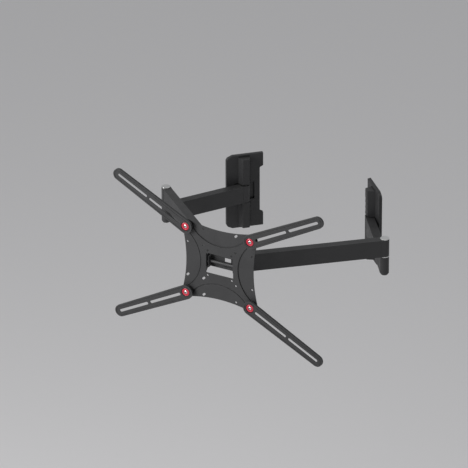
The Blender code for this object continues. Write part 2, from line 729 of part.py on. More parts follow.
def screen_plate():
    """Pressed sheet: the cross stands forward of the four side lobes."""
    sheet = slab("sheet", cross_outline(PLATE_MID_HALF, PLATE_CORNER_R, ARC_STEPS), EMBOSS,
                 EMBOSS + SHEET)
    cross = slab("cross", cross_outline(CROSS_MID_HALF, CROSS_CORNER_R, ARC_STEPS), 0, EMBOSS + MM)
    pocket = slab("pocket", cross_outline(CROSS_MID_HALF - SHEET, CROSS_CORNER_R - SHEET, ARC_STEPS),
                  SHEET, EMBOSS + SHEET + MM)
    body = join(sheet, cross)
    cut(body, pocket)
    w, h = WINDOW_HALF
    cut(body, box("window", (-w, -1, -h), (w, 1, h)))
    join(body, ear(-1), ear(1))
    tilt_bore = rod("bore", TILT_PIN_R + RUN, (-1, TILT_BACK, 0), (1, TILT_BACK, 0),
                    SMALL_ROUND)
    screws = [rod("bore", ARM_SCREW_R + RUN, (sx * SCREW_HALF, -MM, sz * SCREW_HALF),
                  (sx * SCREW_HALF, EMBOSS + SHEET + MM, sz * SCREW_HALF), SMALL_ROUND)
              for sx in (-1, 1) for sz in (-1, 1)]
    return cut(body, tilt_bore, *screws, *plate_holes())


def make_tilt(parent):
    """Bolt through both ears and both cheeks, with its washers and its nut."""
    ear_outer = WINDOW_HALF[0] + SHEET + GAP
    to_x = Matrix.Rotation(math.pi / 2, 4, "Y")
    head_low = -ear_outer
    bolt = turned("bolt", [(0, -head_low + TILT_HEAD_THICK + 9 * MM),
                           (TILT_PIN_R - MM, -head_low + TILT_HEAD_THICK + 9 * MM),
                           (TILT_PIN_R, -head_low + TILT_HEAD_THICK + 8 * MM),
                           (TILT_PIN_R, head_low), (TILT_HEAD_R, head_low),
                           (TILT_HEAD_R, head_low - TILT_HEAD_THICK + MM),
                           (TILT_HEAD_R - MM, head_low - TILT_HEAD_THICK),
                           (0, head_low - TILT_HEAD_THICK)])
    moved(bolt, Matrix.Translation((0, TILT_BACK, 0)) @ to_x)
    finished(placed(bolt, (0, 0, 0)), "tilt_bolt", "black_powder_coat", parent)
    nut = rod("nut", TILT_HEAD_R, (0, 0, ear_outer + GAP),
              (0, 0, ear_outer + GAP + TILT_HEAD_THICK + MM), 6)
    nut = cut(bevel(nut, 0.6 * MM, 1), rod("bore", TILT_PIN_R + RUN, (0, 0, 0), (0, 0, 1),
                                          SMALL_ROUND))
    nut = moved(applied(nut), Matrix.Translation((0, TILT_BACK, 0)) @ to_x)
    finished(placed(nut, (0, 0, 0)), "tilt_nut", "black_powder_coat", parent)
    for name, sign in (("left", -1), ("right", 1)):
        low = cheek_half() + GAP
        ring = applied(bush("washer", TILT_WASHER_R, TILT_PIN_R + RUN, low,
                              low + TILT_WASHER_THICK))
        if sign < 0:
            moved(ring, Matrix.Rotation(math.pi, 4, "X"))
        ring = moved(ring, Matrix.Translation((0, TILT_BACK, 0)) @ to_x)
        finished(placed(ring, (0, 0, 0)), f"tilt_washer_{name}", "white_nylon", parent)


# ---------------------------------------------------------------- adapter arms
def adapter_arm():
    """Slotted pan along +X from its screw, open at the back, its front towards -Y."""
    tip = ARM_REACH - ARM_TIP_R
    front = -ARM_STAND
    back = front + ARM_DEPTH
    pan = bevel(slab("arm", stadium(0, tip, ARM_ROOT_R, ARM_TIP_R, 12), front, back + ARM_DEPTH),
                ARM_EDGE, 3, 60)
    wide = 2 * ARM_REACH
    cut(pan, box("behind", (-wide, back, -wide), (wide, wide, wide)))
    cut(pan, slab("hollow", stadium(0, tip, ARM_ROOT_R - ARM_SHEET, ARM_TIP_R - ARM_SHEET, 12),
                  front + ARM_SHEET, back + MM))
    floor = -GAP - ARM_SHEET
    join(pan, rod("dish", DISH_R + ARM_SHEET, (0, front + ARM_SHEET / 2, 0), (0, -GAP, 0)))
    cut(pan, rod("dish_hollow", DISH_R, (0, front - MM, 0), (0, floor, 0)))
    for start, end in ARM_SLOTS:
        cut(pan, slab("slot", stadium(start + ARM_SLOT_R, end - ARM_SLOT_R, ARM_SLOT_R, steps=8),
                      front - MM, back + MM))
    bore = rod("bore", ARM_SCREW_R + RUN, (0, front - MM, 0), (0, MM, 0), SMALL_ROUND)
    return cut(pan, bore)


CORNERS = {"upper_left": (-1, 1), "upper_right": (1, 1), "lower_right": (1, -1),
           "lower_left": (-1, -1)}


def arm_turn(sx, sz):
    """Turn about Y that points an arm outwards at its angle."""
    angle = ARM_ANGLE if sx > 0 else math.pi - ARM_ANGLE
    return -sz * angle


def make_adapters(screen_parent):
    for name, (sx, sz) in CORNERS.items():
        at = Vector((sx * SCREW_HALF, 0, sz * SCREW_HALF))
        arm_parent = pivot(f"adapter_pivot_{name}", at, screen_parent)
        arm = placed(adapter_arm(), at)
        arm.rotation_euler = (0, arm_turn(sx, sz), 0)
        finished(arm, f"adapter_arm_{name}", "black_powder_coat", arm_parent)

        low, high = 2 * GAP + ARM_SHEET, ARM_STAND - DISC_SINK
        head = ARM_STAND - CAP_SINK - CAP_THICK
        disc = turned("disc", [(0, high), (DISC_R - DISC_TAPER, high),
                               (DISC_R, high - DISC_TAPER), (DISC_R, low), (0, low)])
        disc = cut(disc, rod("bore", ARM_SCREW_R + RUN, (0, 0, 0), (0, 0, 1), SMALL_ROUND),
                   rod("seat", CAP_R + GAP, (0, 0, head - GAP), (0, 0, 1)))
        out = Matrix.Rotation(math.pi / 2, 4, "X")
        disc = moved(applied(disc), out)
        finished(placed(disc, at), f"clamp_disc_{name}", "red_plastic", screen_parent)

        screw_end = -(EMBOSS + SHEET + 2 * GAP + NUT_THICK + 2 * MM)
        screw = turned("screw", [(0, head + CAP_THICK), (CAP_R - 1.2 * MM, head + CAP_THICK),
                                 (CAP_R, head + CAP_THICK * 0.5), (CAP_R, head),
                                 (ARM_SCREW_R, head), (ARM_SCREW_R, screw_end), (0, screw_end)])
        finished(placed(moved(screw, out), at), f"clamp_screw_{name}", "bright_zinc",
                 screen_parent)

        nut_low = EMBOSS + SHEET + GAP
        nut = rod("nut", NUT_R, (0, nut_low, 0), (0, nut_low + NUT_THICK, 0), 6)
        nut = cut(bevel(nut, 0.6 * MM, 1), rod("bore", ARM_SCREW_R + RUN, (0, 0, 0), (0, 1, 0),
                                              SMALL_ROUND))
        finished(placed(nut, at), f"clamp_nut_{name}", "bright_zinc", screen_parent)


# ---------------------------------------------------------------- assembly
def make_mount():
    """Chain of empties on the joint axes, from the left wall to the right one."""
    wall_left = pivot("wall_left", ORIGIN)
    rear_left = pivot("wall_hinge_left", WALL_HINGE_AT["left"], wall_left)
    front_left = pivot("elbow_left", ELBOW_AT["left"], rear_left)
    head = pivot("head_hinge_left", HEAD_AT["left"], front_left)
    screen = pivot("tilt", (0, TILT_BACK, 0), head)
    front_right = pivot("head_hinge_right", HEAD_AT["right"], head)
    rear_right = pivot("elbow_right", ELBOW_AT["right"], front_right)
    wall_right = pivot("wall_hinge_right", WALL_HINGE_AT["right"], rear_right)

    make_wall_set("left", wall_left)
    make_wall_set("right", wall_right)
    make_arm("left", rear_left, front_left)
    make_arm("right", rear_right, front_right)
    make_head(head)
    finished(placed(screen_plate(), (0, 0, 0)), "screen_plate", "black_powder_coat", screen)
    make_tilt(head)
    make_adapters(screen)


make_mount()
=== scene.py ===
"""Full motion TV wall mount for a room corner, with its finishes, lights and camera.

Every part is built here at full detail in the frame's own coordinates: pressed and bent steel
with rounded edges, moulded covers, zinc fasteners, red clamp discs and nylon bushes.
"""
import json
import math
import bmesh
import bpy
from mathutils import Matrix, Vector

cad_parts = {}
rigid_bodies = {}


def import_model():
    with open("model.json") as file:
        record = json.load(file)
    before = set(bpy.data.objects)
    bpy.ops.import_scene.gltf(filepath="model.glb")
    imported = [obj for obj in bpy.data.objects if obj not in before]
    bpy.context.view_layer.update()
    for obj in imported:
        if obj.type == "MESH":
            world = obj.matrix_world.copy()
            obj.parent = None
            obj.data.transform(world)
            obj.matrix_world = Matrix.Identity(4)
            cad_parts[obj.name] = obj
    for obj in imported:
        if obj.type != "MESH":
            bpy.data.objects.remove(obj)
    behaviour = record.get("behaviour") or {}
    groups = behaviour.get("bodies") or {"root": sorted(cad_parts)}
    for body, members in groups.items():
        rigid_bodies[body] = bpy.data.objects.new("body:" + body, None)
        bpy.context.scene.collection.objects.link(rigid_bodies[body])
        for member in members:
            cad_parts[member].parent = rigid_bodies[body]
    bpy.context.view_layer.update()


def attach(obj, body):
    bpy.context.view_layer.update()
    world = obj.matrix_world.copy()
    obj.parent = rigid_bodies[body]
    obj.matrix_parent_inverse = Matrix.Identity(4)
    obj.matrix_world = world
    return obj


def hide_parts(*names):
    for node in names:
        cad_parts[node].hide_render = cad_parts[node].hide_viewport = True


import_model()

MM = 0.001
GAP = 0.3 * MM                  # clearance between faces that touch
RUN = 0.2 * MM                  # radial clearance of a pin in its bore

# ---------------------------------------------------------------- driving dimensions
# layout, seen from above: the arms' lengths and their headings in the shown pose
REAR_LENGTH = 253 * MM          # wall hinge to elbow
FRONT_LENGTH = 390.5 * MM       # elbow to head hinge
REAR_HEADING = {"left": math.radians(238.1), "right": math.radians(-52.8)}
FRONT_HEADING = {"left": math.radians(139.4), "right": math.radians(42.2)}
WALL_TURN = {"left": math.radians(45), "right": math.radians(-45)}

# links: rectangular tubes with a round knuckle at each end
LINK_WIDTH = 24 * MM
LINK_HEIGHT = 50 * MM
LINK_WALL = 2.5 * MM
LINK_EDGE = 2.5 * MM
BORE_PAST = 20 * MM             # a link's bores are cut this far past its bottom
KNUCKLE_R = 12.6 * MM
FORK_WALL = 3 * MM              # top and bottom of a front link, which hold the head pin
FORK_DEPTH = 18 * MM            # the link's sides are open this far beyond the head pin
BOSS_DROP = 4 * MM              # how far the elbow boss of a rear link hangs below its tube
BOSS_TIP_R = 10 * MM
ELBOW_PIN_R = 5 * MM
ELBOW_CAP_THICK = 2.4 * MM
ELBOW_RING_THICK = 2.4 * MM
PIN_HEAD_R = 8 * MM
PIN_HEAD_THICK = 3.2 * MM

# wall plates and what they carry
PLATE_WIDTH = 98 * MM
PLATE_SHIFT = -3.5 * MM         # middle of a left plate from its hinge, along the wall
PLATE_HEIGHT = 226 * MM
PLATE_THICK = 3 * MM
TAB_REACH = 10 * MM             # tabs at the top and bottom of the side towards the corner
TAB_HEIGHT = 45 * MM
TAB_SLOPE = 5 * MM
CORNER_RUN = 18 * MM            # cut-off corners on the other side
CORNER_DROP = 13 * MM
CORNER_KNEE = (0.22, 0.5)      # where the cut bends, as shares of its run and its drop
SCREW_SLOT_R = 4 * MM
SCREW_SLOT_LENGTH = 18 * MM
SCREW_SPACING = 150 * MM
SCREW_OFFSET = 29 * MM
HINGE_DEPTH = 20 * MM           # hinge axis to the wall
WALL_PIN_R = 4 * MM
WALL_PIN_HEAD_R = 6.4 * MM
LUG_R = 7.6 * MM
LUG_THICK = 4 * MM
BUSH_THICK = 1.5 * MM
BUSH_R = 8 * MM
BRACKET_WIDTH = 34 * MM
BRACKET_MARGIN = 14 * MM        # bracket plate beyond its lugs

COVER_DEPTH = 9.5 * MM          # wings of the covers, from the wall
COVER_WALL = 1.8 * MM
COVER_EDGE = 1.6 * MM
RIDGE_DEPTH = 30 * MM           # central ridge, from the wall
RIDGE_TOP = 19 * MM
RIDGE_RUN = 8 * MM              # run of each sloping side of the ridge
RIDGE_END = 7 * MM              # the ridge starts this far inside the cover's end
MOUTH_WIDTH = 58 * MM           # opening that the rear link swings in
LOUVRE_PITCH = 17.6 * MM
LOUVRE_COUNT = 3
LOUVRE_DEPTH = 1.1 * MM
LOUVRE_FOOT = 0.2               # depth left at a tooth's foot, as a share
LOUVRE_SLOPE = 0.82             # share of the pitch that a tooth slopes over

# head: a carrier with two flanges behind the screen plate
HEAD_HALF = 49 * MM             # head hinges to the middle plane
HEAD_BACK = 56 * MM             # head hinges behind the screen plate's front
FLANGE_THICK = 3 * MM
HEAD_PIN_R = 5 * MM
CARRIER_R = 13 * MM
CARRIER_FRONT = 24 * MM
CARRIER_BACK = 59 * MM
CARRIER_WINDOW = (2 * MM, 22 * MM)   # from left to right
CARRIER_WINDOW_HALF = 14 * MM
CHEEK_FRONT = 6 * MM
CHEEK_HALF_HEIGHT = 16 * MM
CARRIER_NECK = 42 * MM          # where the flanges start to widen

# tilt
TILT_BACK = 16 * MM
TILT_PIN_R = 4 * MM
TILT_HEAD_R = 7.5 * MM
TILT_HEAD_THICK = 5 * MM
TILT_BOLT_PAST = 9 * MM           # the bolt's end, past the ear and a head's height
TILT_WASHER_R = 9 * MM
TILT_WASHER_THICK = 1.2 * MM
EAR_R = 11.5 * MM
EAR_ROOT = 28 * MM

# screen plate
SCREW_HALF = 100 * MM           # adapter screws on a 200 mm square
PLATE_MID_HALF = 104 * MM       # middle of each concave side
PLATE_CORNER_R = 17 * MM
SHEET = 2.5 * MM
EMBOSS = 1 * MM                 # the cross stands this far in front of the side lobes
CROSS_MID_HALF = 58 * MM
CROSS_CORNER_R = 12.5 * MM
WINDOW_HALF = (42 * MM, 30 * MM)
HOLE_R = 3 * MM
SMALL_PATTERNS = (37.5 * MM, 50 * MM)
SIDE_PATTERN = 50 * MM          # holes beside the adapter screws
SLOT_TRAVEL = 7 * MM

# adapter arms: pressed pans that stand in front of the plate on a dished root
ARM_TIP_R = 17 * MM
ARM_REACH = 250 * MM            # screw to the tip's end
ARM_ANGLE = math.radians(27.6)
ARM_STAND = 12.5 * MM           # front of an arm from the plate's front
ARM_DEPTH = 6.5 * MM
ARM_EDGE = 3.3 * MM             # rounding of the front edge
ARM_SHEET = 2.2 * MM
ARM_SLOT_R = 4 * MM
ARM_SCREW_R = 4 * MM
DISC_R = 11.5 * MM
DISH_R = DISC_R + 1 * MM
ARM_ROOT_R = DISH_R + 8 * MM
ARM_SLOTS = ((DISH_R + 6 * MM, 126 * MM), (134 * MM, 235 * MM))   # from the screw
DISC_SINK = 0.8 * MM            # front of a clamp disc behind the arm's front
DISC_TAPER = 1.5 * MM
CAP_R = 5.2 * MM
CAP_THICK = 3 * MM
CAP_SINK = 0.2 * MM             # front of a screw's head behind the arm's front
NUT_R = 8 * MM
NUT_THICK = 5 * MM
NUT_CHAMFER = 0.6 * MM

GROOVE = 3.8 * MM               # groove pressed round the cross
GROOVE_DEPTH = 1.1 * MM
LINE_WIDTH = 1.6 * MM           # line pressed round the front of an adapter arm
LINE_DEPTH = 0.7 * MM
DISC_LINE = 0.6 * MM            # depth of the line turned in a clamp disc's front
DISC_LINE_AT = 0.76             # its outer edge as a share of the disc's radius
SOCKET_R = 2.3 * MM
SOCKET_DEPTH = 1.8 * MM
DOME_STEPS = 12
DOME_RISE = 0.42                # height of a screw's dome as a share of its radius

SHARP_ANGLE = math.radians(32)  # edges bent more than this stay sharp

ROUND = 96                      # sides of a round piece
SMALL_ROUND = 48
HOLE_ROUND = 40
HEX = 6                         # a nut or a hexagon socket
ARC_STEPS = 36
ARM_END_STEPS = 48
ARM_SLOT_STEPS = 24
SCREW_SLOT_STEPS = 20
HOLE_SLOT_STEPS = 18
CORNER_STEPS = 24
EAR_STEPS = 40

# ---------------------------------------------------------------- levels and places
FRONT_TOP = LINK_HEIGHT / 2
FRONT_BOTTOM = FRONT_TOP - LINK_HEIGHT
REAR_TOP = FRONT_BOTTOM - ELBOW_RING_THICK - 2 * GAP
REAR_BOTTOM = REAR_TOP - LINK_HEIGHT
REAR_MIDDLE = (REAR_TOP + REAR_BOTTOM) / 2


def heading(angle):
    """Unit vector in the XY plane."""
    return Vector((math.cos(angle), math.sin(angle), 0))


HEAD_AT = {"left": Vector((-HEAD_HALF, HEAD_BACK, 0)), "right": Vector((HEAD_HALF, HEAD_BACK, 0))}
ELBOW_AT = {side: HEAD_AT[side] + FRONT_LENGTH * heading(FRONT_HEADING[side]) for side in HEAD_AT}
WALL_HINGE_AT = {side: ELBOW_AT[side] - REAR_LENGTH * heading(REAR_HEADING[side])
                 for side in ELBOW_AT}
# a wall plate's own axes: X along the wall, +Y into the wall
INTO_WALL = {side: heading(WALL_TURN[side] + math.pi / 2) for side in WALL_TURN}
PLATE_AT = {side: WALL_HINGE_AT[side] + HINGE_DEPTH * INTO_WALL[side] for side in WALL_TURN}
ORIGIN = PLATE_AT["left"] + Vector((0, 0, REAR_MIDDLE))

# ---------------------------------------------------------------- surface effects
def effect(name, inputs, outputs):
    """A node group with named sockets, and its input and output nodes."""
    group = bpy.data.node_groups.new(name, "ShaderNodeTree")
    for label, kind, value in inputs:
        socket = group.interface.new_socket(label, in_out="INPUT", socket_type=kind)
        socket.default_value = value
    for label, kind in outputs:
        group.interface.new_socket(label, in_out="OUTPUT", socket_type=kind)
    return group, group.nodes.new("NodeGroupInput"), group.nodes.new("NodeGroupOutput")


def node(tree, kind, settings=None, **sockets):
    """Adds a node; inputs are given by name, spaces as underscores, or by number as _0, _1."""
    made = tree.nodes.new(kind)
    for key, value in (settings or {}).items():
        setattr(made, key, value)
    for key, value in sockets.items():
        socket = made.inputs[int(key[1:])] if key[1:].isdigit() else made.inputs[key.replace("_", " ")]
        if isinstance(value, bpy.types.NodeSocket):
            tree.links.new(value, socket)
        else:
            socket.default_value = value
    return made


def grain_effect():
    """Fine pebbled surface: a bump height and a patchy shade."""
    group, given, result = effect("fine grain", [("Size", "NodeSocketFloat", 900.0)],
                                  [("Height", "NodeSocketFloat"), ("Shade", "NodeSocketFloat")])
    place = node(group, "ShaderNodeTexCoord").outputs["Object"]
    fine = node(group, "ShaderNodeTexNoise", Vector=place, Scale=given.outputs["Size"],
                Detail=3.0, Roughness=0.6)
    pebbles = node(group, "ShaderNodeTexVoronoi", {"feature": "SMOOTH_F1"}, Vector=place,
                   Scale=given.outputs["Size"], Smoothness=0.6)
    broad = node(group, "ShaderNodeTexNoise", Vector=place, Scale=14.0, Detail=4.0)
    height = node(group, "ShaderNodeMath", {"operation": "MULTIPLY_ADD"},
                  _0=pebbles.outputs["Distance"], _1=0.6, _2=fine.outputs["Fac"])
    group.links.new(height.outputs[0], result.inputs["Height"])
    group.links.new(broad.outputs["Fac"], result.inputs["Shade"])
    return group


def wear_effect():
    """Mask of the edges that hands and tools rub, broken up by noise."""
    group, given, result = effect("edge wear", [("Width", "NodeSocketFloat", 0.0012),
                                                ("Amount", "NodeSocketFloat", 0.5)],
                                  [("Mask", "NodeSocketFloat")])
    place = node(group, "ShaderNodeTexCoord").outputs["Object"]
    eased = node(group, "ShaderNodeBevel", {"samples": 4}, Radius=given.outputs["Width"])
    plain = node(group, "ShaderNodeNewGeometry")
    same = node(group, "ShaderNodeVectorMath", {"operation": "DOT_PRODUCT"},
                _0=eased.outputs["Normal"], _1=plain.outputs["Normal"])
    edge = node(group, "ShaderNodeMapRange", Value=same.outputs["Value"],
                From_Min=0.985, From_Max=0.8, To_Min=0.0, To_Max=1.0)
    patches = node(group, "ShaderNodeTexNoise", Vector=place, Scale=60.0, Detail=5.0,
                   Roughness=0.65)
    broken = node(group, "ShaderNodeMapRange", Value=patches.outputs["Fac"],
                  From_Min=0.42, From_Max=0.66, To_Min=0.0, To_Max=1.0)
    both = node(group, "ShaderNodeMath", {"operation": "MULTIPLY"}, _0=edge.outputs["Result"],
                _1=broken.outputs["Result"])
    scaled = node(group, "ShaderNodeMath", {"operation": "MULTIPLY"}, _0=both.outputs[0],
                  _1=given.outputs["Amount"])
    group.links.new(scaled.outputs[0], result.inputs["Mask"])
    return group


def dust_effect():
    """Mask of the thin dust that settles on faces looking up."""
    group, given, result = effect("settled dust", [("Amount", "NodeSocketFloat", 0.3)],
                                  [("Mask", "NodeSocketFloat")])
    place = node(group, "ShaderNodeTexCoord").outputs["Object"]
    up = node(group, "ShaderNodeSeparateXYZ", _0=node(group, "ShaderNodeNewGeometry")
              .outputs["Normal"])
    facing = node(group, "ShaderNodeMapRange", Value=up.outputs["Z"],
                  From_Min=0.35, From_Max=1.0, To_Min=0.0, To_Max=1.0)
    film = node(group, "ShaderNodeTexNoise", Vector=place, Scale=45.0, Detail=6.0, Roughness=0.7)
    both = node(group, "ShaderNodeMath", {"operation": "MULTIPLY"}, _0=facing.outputs["Result"],
                _1=film.outputs["Fac"])
    scaled = node(group, "ShaderNodeMath", {"operation": "MULTIPLY"}, _0=both.outputs[0],
                  _1=given.outputs["Amount"])
    group.links.new(scaled.outputs[0], result.inputs["Mask"])
    return group


def smudge_effect():
    """Roughness that varies with handling, from the low value to the high one."""
    group, given, result = effect("handling smudges", [("Low", "NodeSocketFloat", 0.4),
                                                       ("High", "NodeSocketFloat", 0.6)],
                                  [("Roughness", "NodeSocketFloat")])
    place = node(group, "ShaderNodeTexCoord").outputs["Object"]
    patches = node(group, "ShaderNodeTexNoise", Vector=place, Scale=22.0, Detail=5.0,
                   Distortion=0.8)
    spread = node(group, "ShaderNodeMapRange", Value=patches.outputs["Fac"],
                  From_Min=0.3, From_Max=0.7, To_Min=given.outputs["Low"],
                  To_Max=given.outputs["High"])
    group.links.new(spread.outputs["Result"], result.inputs["Roughness"])
    return group


def painted_crevice_shade_effect():
    """Mask of painted shade in grooves, seams and inner corners, where little light reaches: ambient
    occlusion there darkens the colour.
    """
    group, given, result = effect("crevice shade", [("Reach", "NodeSocketFloat", 0.006)],
                                  [("Mask", "NodeSocketFloat")])
    hidden = node(group, "ShaderNodeAmbientOcclusion", {"samples": 8},
                  Distance=given.outputs["Reach"])
    depth = node(group, "ShaderNodeMapRange", Value=hidden.outputs["AO"],
                 From_Min=0.35, From_Max=0.85, To_Min=1.0, To_Max=0.0)
    group.links.new(depth.outputs["Result"], result.inputs["Mask"])
    return group


GRAIN, WEAR, DUST, SMUDGES = grain_effect(), wear_effect(), dust_effect(), smudge_effect()
PAINTED_CREVICE_SHADE = painted_crevice_shade_effect()

DUST_COLOR = (0.36, 0.35, 0.33, 1)
EASED_EDGE = 0.6 * MM           # radius that the light sees on every sharp edge
# the third share is the colour left in crevices under painted shade
DARK_PATCH, LIGHT_PATCH, PAINTED_SHADE_SHARE = 0.84, 1.16, 0.25   # shares of a finish's colour


def coated(name, color, worn_color, low, high, grain_size, grain_height, wear, dust,
           metallic=0.0, coat=0.0):
    """A finish: its colour worn at edges, dusted on top, grained, smudged and darkened by painted
    shade in crevices.
    """
    material = bpy.data.materials.new(name)
    material.use_nodes = True
    tree = material.node_tree
    shader = tree.nodes["Principled BSDF"]
    grain = node(tree, "ShaderNodeGroup", {"node_tree": GRAIN}, Size=grain_size)
    worn = node(tree, "ShaderNodeGroup", {"node_tree": WEAR}, Amount=wear)
    dusty = node(tree, "ShaderNodeGroup", {"node_tree": DUST}, Amount=dust)
    smudge = node(tree, "ShaderNodeGroup", {"node_tree": SMUDGES}, Low=low, High=high)
    deep = tuple(part * DARK_PATCH for part in color)
    light = tuple(min(part * LIGHT_PATCH, 1.0) for part in color)
    base = node(tree, "ShaderNodeMix", {"data_type": "RGBA"}, _0=grain.outputs["Shade"],
                _6=(*deep, 1), _7=(*light, 1))
    rubbed = node(tree, "ShaderNodeMix", {"data_type": "RGBA"}, _0=worn.outputs["Mask"],
                  _6=base.outputs[2], _7=(*worn_color, 1))
    topped = node(tree, "ShaderNodeMix", {"data_type": "RGBA"}, _0=dusty.outputs["Mask"],
                  _6=rubbed.outputs[2], _7=DUST_COLOR)
    # painted shade: the colour is darkened where ambient occlusion finds grooves and inner corners
    crevice = node(tree, "ShaderNodeGroup", {"node_tree": PAINTED_CREVICE_SHADE})
    shaded = node(tree, "ShaderNodeMix", {"data_type": "RGBA"}, _0=crevice.outputs["Mask"],
                  _6=topped.outputs[2], _7=(*(part * PAINTED_SHADE_SHARE for part in color), 1))
    tree.links.new(shaded.outputs[2], shader.inputs["Base Color"])
    tree.links.new(smudge.outputs["Roughness"], shader.inputs["Roughness"])
    eased = node(tree, "ShaderNodeBevel", {"samples": 4}, Radius=EASED_EDGE)
    bump = node(tree, "ShaderNodeBump", Strength=0.5, Distance=grain_height,
                Height=grain.outputs["Height"], Normal=eased.outputs["Normal"])
    tree.links.new(bump.outputs["Normal"], shader.inputs["Normal"])
    shader.inputs["Metallic"].default_value = metallic
    shader.inputs["Coat Weight"].default_value = coat
    shader.inputs["Coat Roughness"].default_value = 0.2
    return material


LOOKS = {
    "black_powder_coat": coated("black_powder_coat", color=(0.026, 0.026, 0.027),
                                worn_color=(0.13, 0.13, 0.135), low=0.42, high=0.58,
                                grain_size=1100.0, grain_height=0.00012, wear=0.5, dust=0.05),
    "black_plastic": coated("black_plastic", color=(0.019, 0.019, 0.02),
                            worn_color=(0.075, 0.075, 0.077), low=0.46, high=0.6,
                            grain_size=1500.0, grain_height=0.0001, wear=0.35, dust=0.06),
    "bright_zinc": coated("bright_zinc", color=(0.78, 0.78, 0.77), worn_color=(0.9, 0.9, 0.9),
                          low=0.2, high=0.36, grain_size=700.0, grain_height=0.00004, wear=0.4,
                          dust=0.05, metallic=1.0),
    "red_plastic": coated("red_plastic", color=(0.56, 0.022, 0.05), worn_color=(0.85, 0.28, 0.3),
                          low=0.26, high=0.4, grain_size=900.0, grain_height=0.00005, wear=0.6,
                          dust=0.05, coat=0.3),
    "white_nylon": coated("white_nylon", color=(0.72, 0.71, 0.68), worn_color=(0.8, 0.79, 0.76),
                          low=0.42, high=0.58, grain_size=800.0, grain_height=0.00006, wear=0.2,
                          dust=0.1),
}


# ---------------------------------------------------------------- modelling helpers
def raw_object(name, mesh):
    item = bpy.data.objects.new(name, mesh)
    bpy.context.scene.collection.objects.link(item)
    return item


def box(name, low, high):
    """Box between two corners."""
    body = bmesh.new()
    bmesh.ops.create_cube(body, size=1)
    size = Vector(high) - Vector(low)
    middle = (Vector(high) + Vector(low)) / 2
    bmesh.ops.transform(body, matrix=Matrix.Translation(middle) @ Matrix.Diagonal((*size, 1)),
                        verts=body.verts)
    mesh = bpy.data.meshes.new(name)
    body.to_mesh(mesh)
    body.free()
    return raw_object(name, mesh)


def rod(name, radius, start, end, sides=ROUND, end_radius=None):
    """Cylinder or cone between two points."""
    start, end = Vector(start), Vector(end)
    along = end - start
    body = bmesh.new()
    bmesh.ops.create_cone(body, cap_ends=True, segments=sides, radius1=radius,
                          radius2=radius if end_radius is None else end_radius,
                          depth=along.length)
    turn = Vector((0, 0, 1)).rotation_difference(along.normalized()).to_matrix().to_4x4()
    bmesh.ops.transform(body, matrix=Matrix.Translation((start + end) / 2) @ turn,
                        verts=body.verts)
    mesh = bpy.data.meshes.new(name)
    body.to_mesh(mesh)
    body.free()
    return raw_object(name, mesh)


def turned(name, profile, sides=ROUND):
    """Turned piece about Z: the profile is (radius, height) down its outer side."""
    mesh = bpy.data.meshes.new(name)
    points = [(radius, 0, height) for radius, height in profile]
    mesh.from_pydata(points, [(i, i + 1) for i in range(len(points) - 1)], [])
    item = raw_object(name, mesh)
    screw = item.modifiers.new("turn", "SCREW")
    screw.steps = screw.render_steps = sides
    screw.use_merge_vertices = True
    screw.merge_threshold = 0.00001
    return applied(item)


def slab(name, outline, low, high, upright=True):
    """Flat outline thickened from low to high.

    upright: the outline lies in XZ and the thickness runs along Y; otherwise in XY, along Z.
    """
    curve = bpy.data.curves.new(name, "CURVE")
    curve.dimensions = "2D"
    curve.fill_mode = "BOTH"
    curve.extrude = (high - low) / 2
    spline = curve.splines.new("POLY")
    spline.points.add(len(outline) - 1)
    for point, (u, v) in zip(spline.points, outline):
        point.co = (u, v, 0, 1)
    spline.use_cyclic_u = True
    item = raw_object(name, curve)
    middle = (low + high) / 2
    if upright:
        item.matrix_world = Matrix.Translation((0, middle, 0)) @ Matrix.Rotation(math.pi / 2, 4, "X")
    else:
        item.matrix_world = Matrix.Translation((0, 0, middle))
    return applied(item)


def applied(item):
    """The evaluated shape of an object as a plain welded mesh at the origin."""
    bpy.context.view_layer.update()
    graph = bpy.context.evaluated_depsgraph_get()
    mesh = bpy.data.meshes.new_from_object(item.evaluated_get(graph))
    body = bmesh.new()
    body.from_mesh(mesh)
    bmesh.ops.transform(body, matrix=item.matrix_world, verts=body.verts)
    bmesh.ops.remove_doubles(body, verts=body.verts, dist=0.000001)
    bmesh.ops.recalc_face_normals(body, faces=body.faces)
    body.to_mesh(mesh)
    body.free()
    name = item.name
    for helper in (*item.children_recursive, item):
        bpy.data.objects.remove(helper, do_unlink=True)
    return raw_object(name, mesh)


def moved(item, matrix):
    item.data.transform(matrix)
    return item


def mirrored(item):
    """The same piece for the other hand."""
    item = moved(applied(item), Matrix.Scale(-1, 4, (1, 0, 0)))
    item.data.flip_normals()
    return item


def boolean(item, other, operation):
    """Cut or join one more shape; the other shape becomes a helper parented to the piece."""
    step = item.modifiers.new(other.name, "BOOLEAN")
    step.operation = operation
    step.solver = "EXACT"
    step.object = other
    other.parent = item
    return item


def cut(item, *others):
    for other in others:
        boolean(item, other, "DIFFERENCE")
    return item


def join(item, *others):
    for other in others:
        boolean(item, other, "UNION")
    return item


def bevel(item, width, segments=2, angle=30):
    step = item.modifiers.new("edges", "BEVEL")
    step.width = width
    step.segments = segments
    step.limit_method = "ANGLE"
    step.angle_limit = math.radians(angle)
    step.use_clamp_overlap = True
    return applied(item)


def arc(center, radius, start, end, steps=ARC_STEPS):
    """Points of an arc, both ends included."""
    return [(center[0] + radius * math.cos(start + (end - start) * i / steps),
             center[1] + radius * math.sin(start + (end - start) * i / steps))
            for i in range(steps + 1)]


def stadium(start, end, radius_start, radius_end=None, steps=ARC_STEPS):
    """Outline around two end circles on the first axis, sides tangent to both."""
    radius_end = radius_start if radius_end is None else radius_end
    lean = math.asin((radius_start - radius_end) / (end - start))
    top = math.pi / 2 - lean
    return (arc((end, 0), radius_end, -top, top, steps)
            + arc((start, 0), radius_start, top, 2 * math.pi - top, steps))


def placed(item, at, turn=0.0):
    """Puts a finished shape at its place, in the layout seen from above."""
    item.location = Vector(at) - ORIGIN
    item.rotation_euler = (0, 0, turn)
    return item


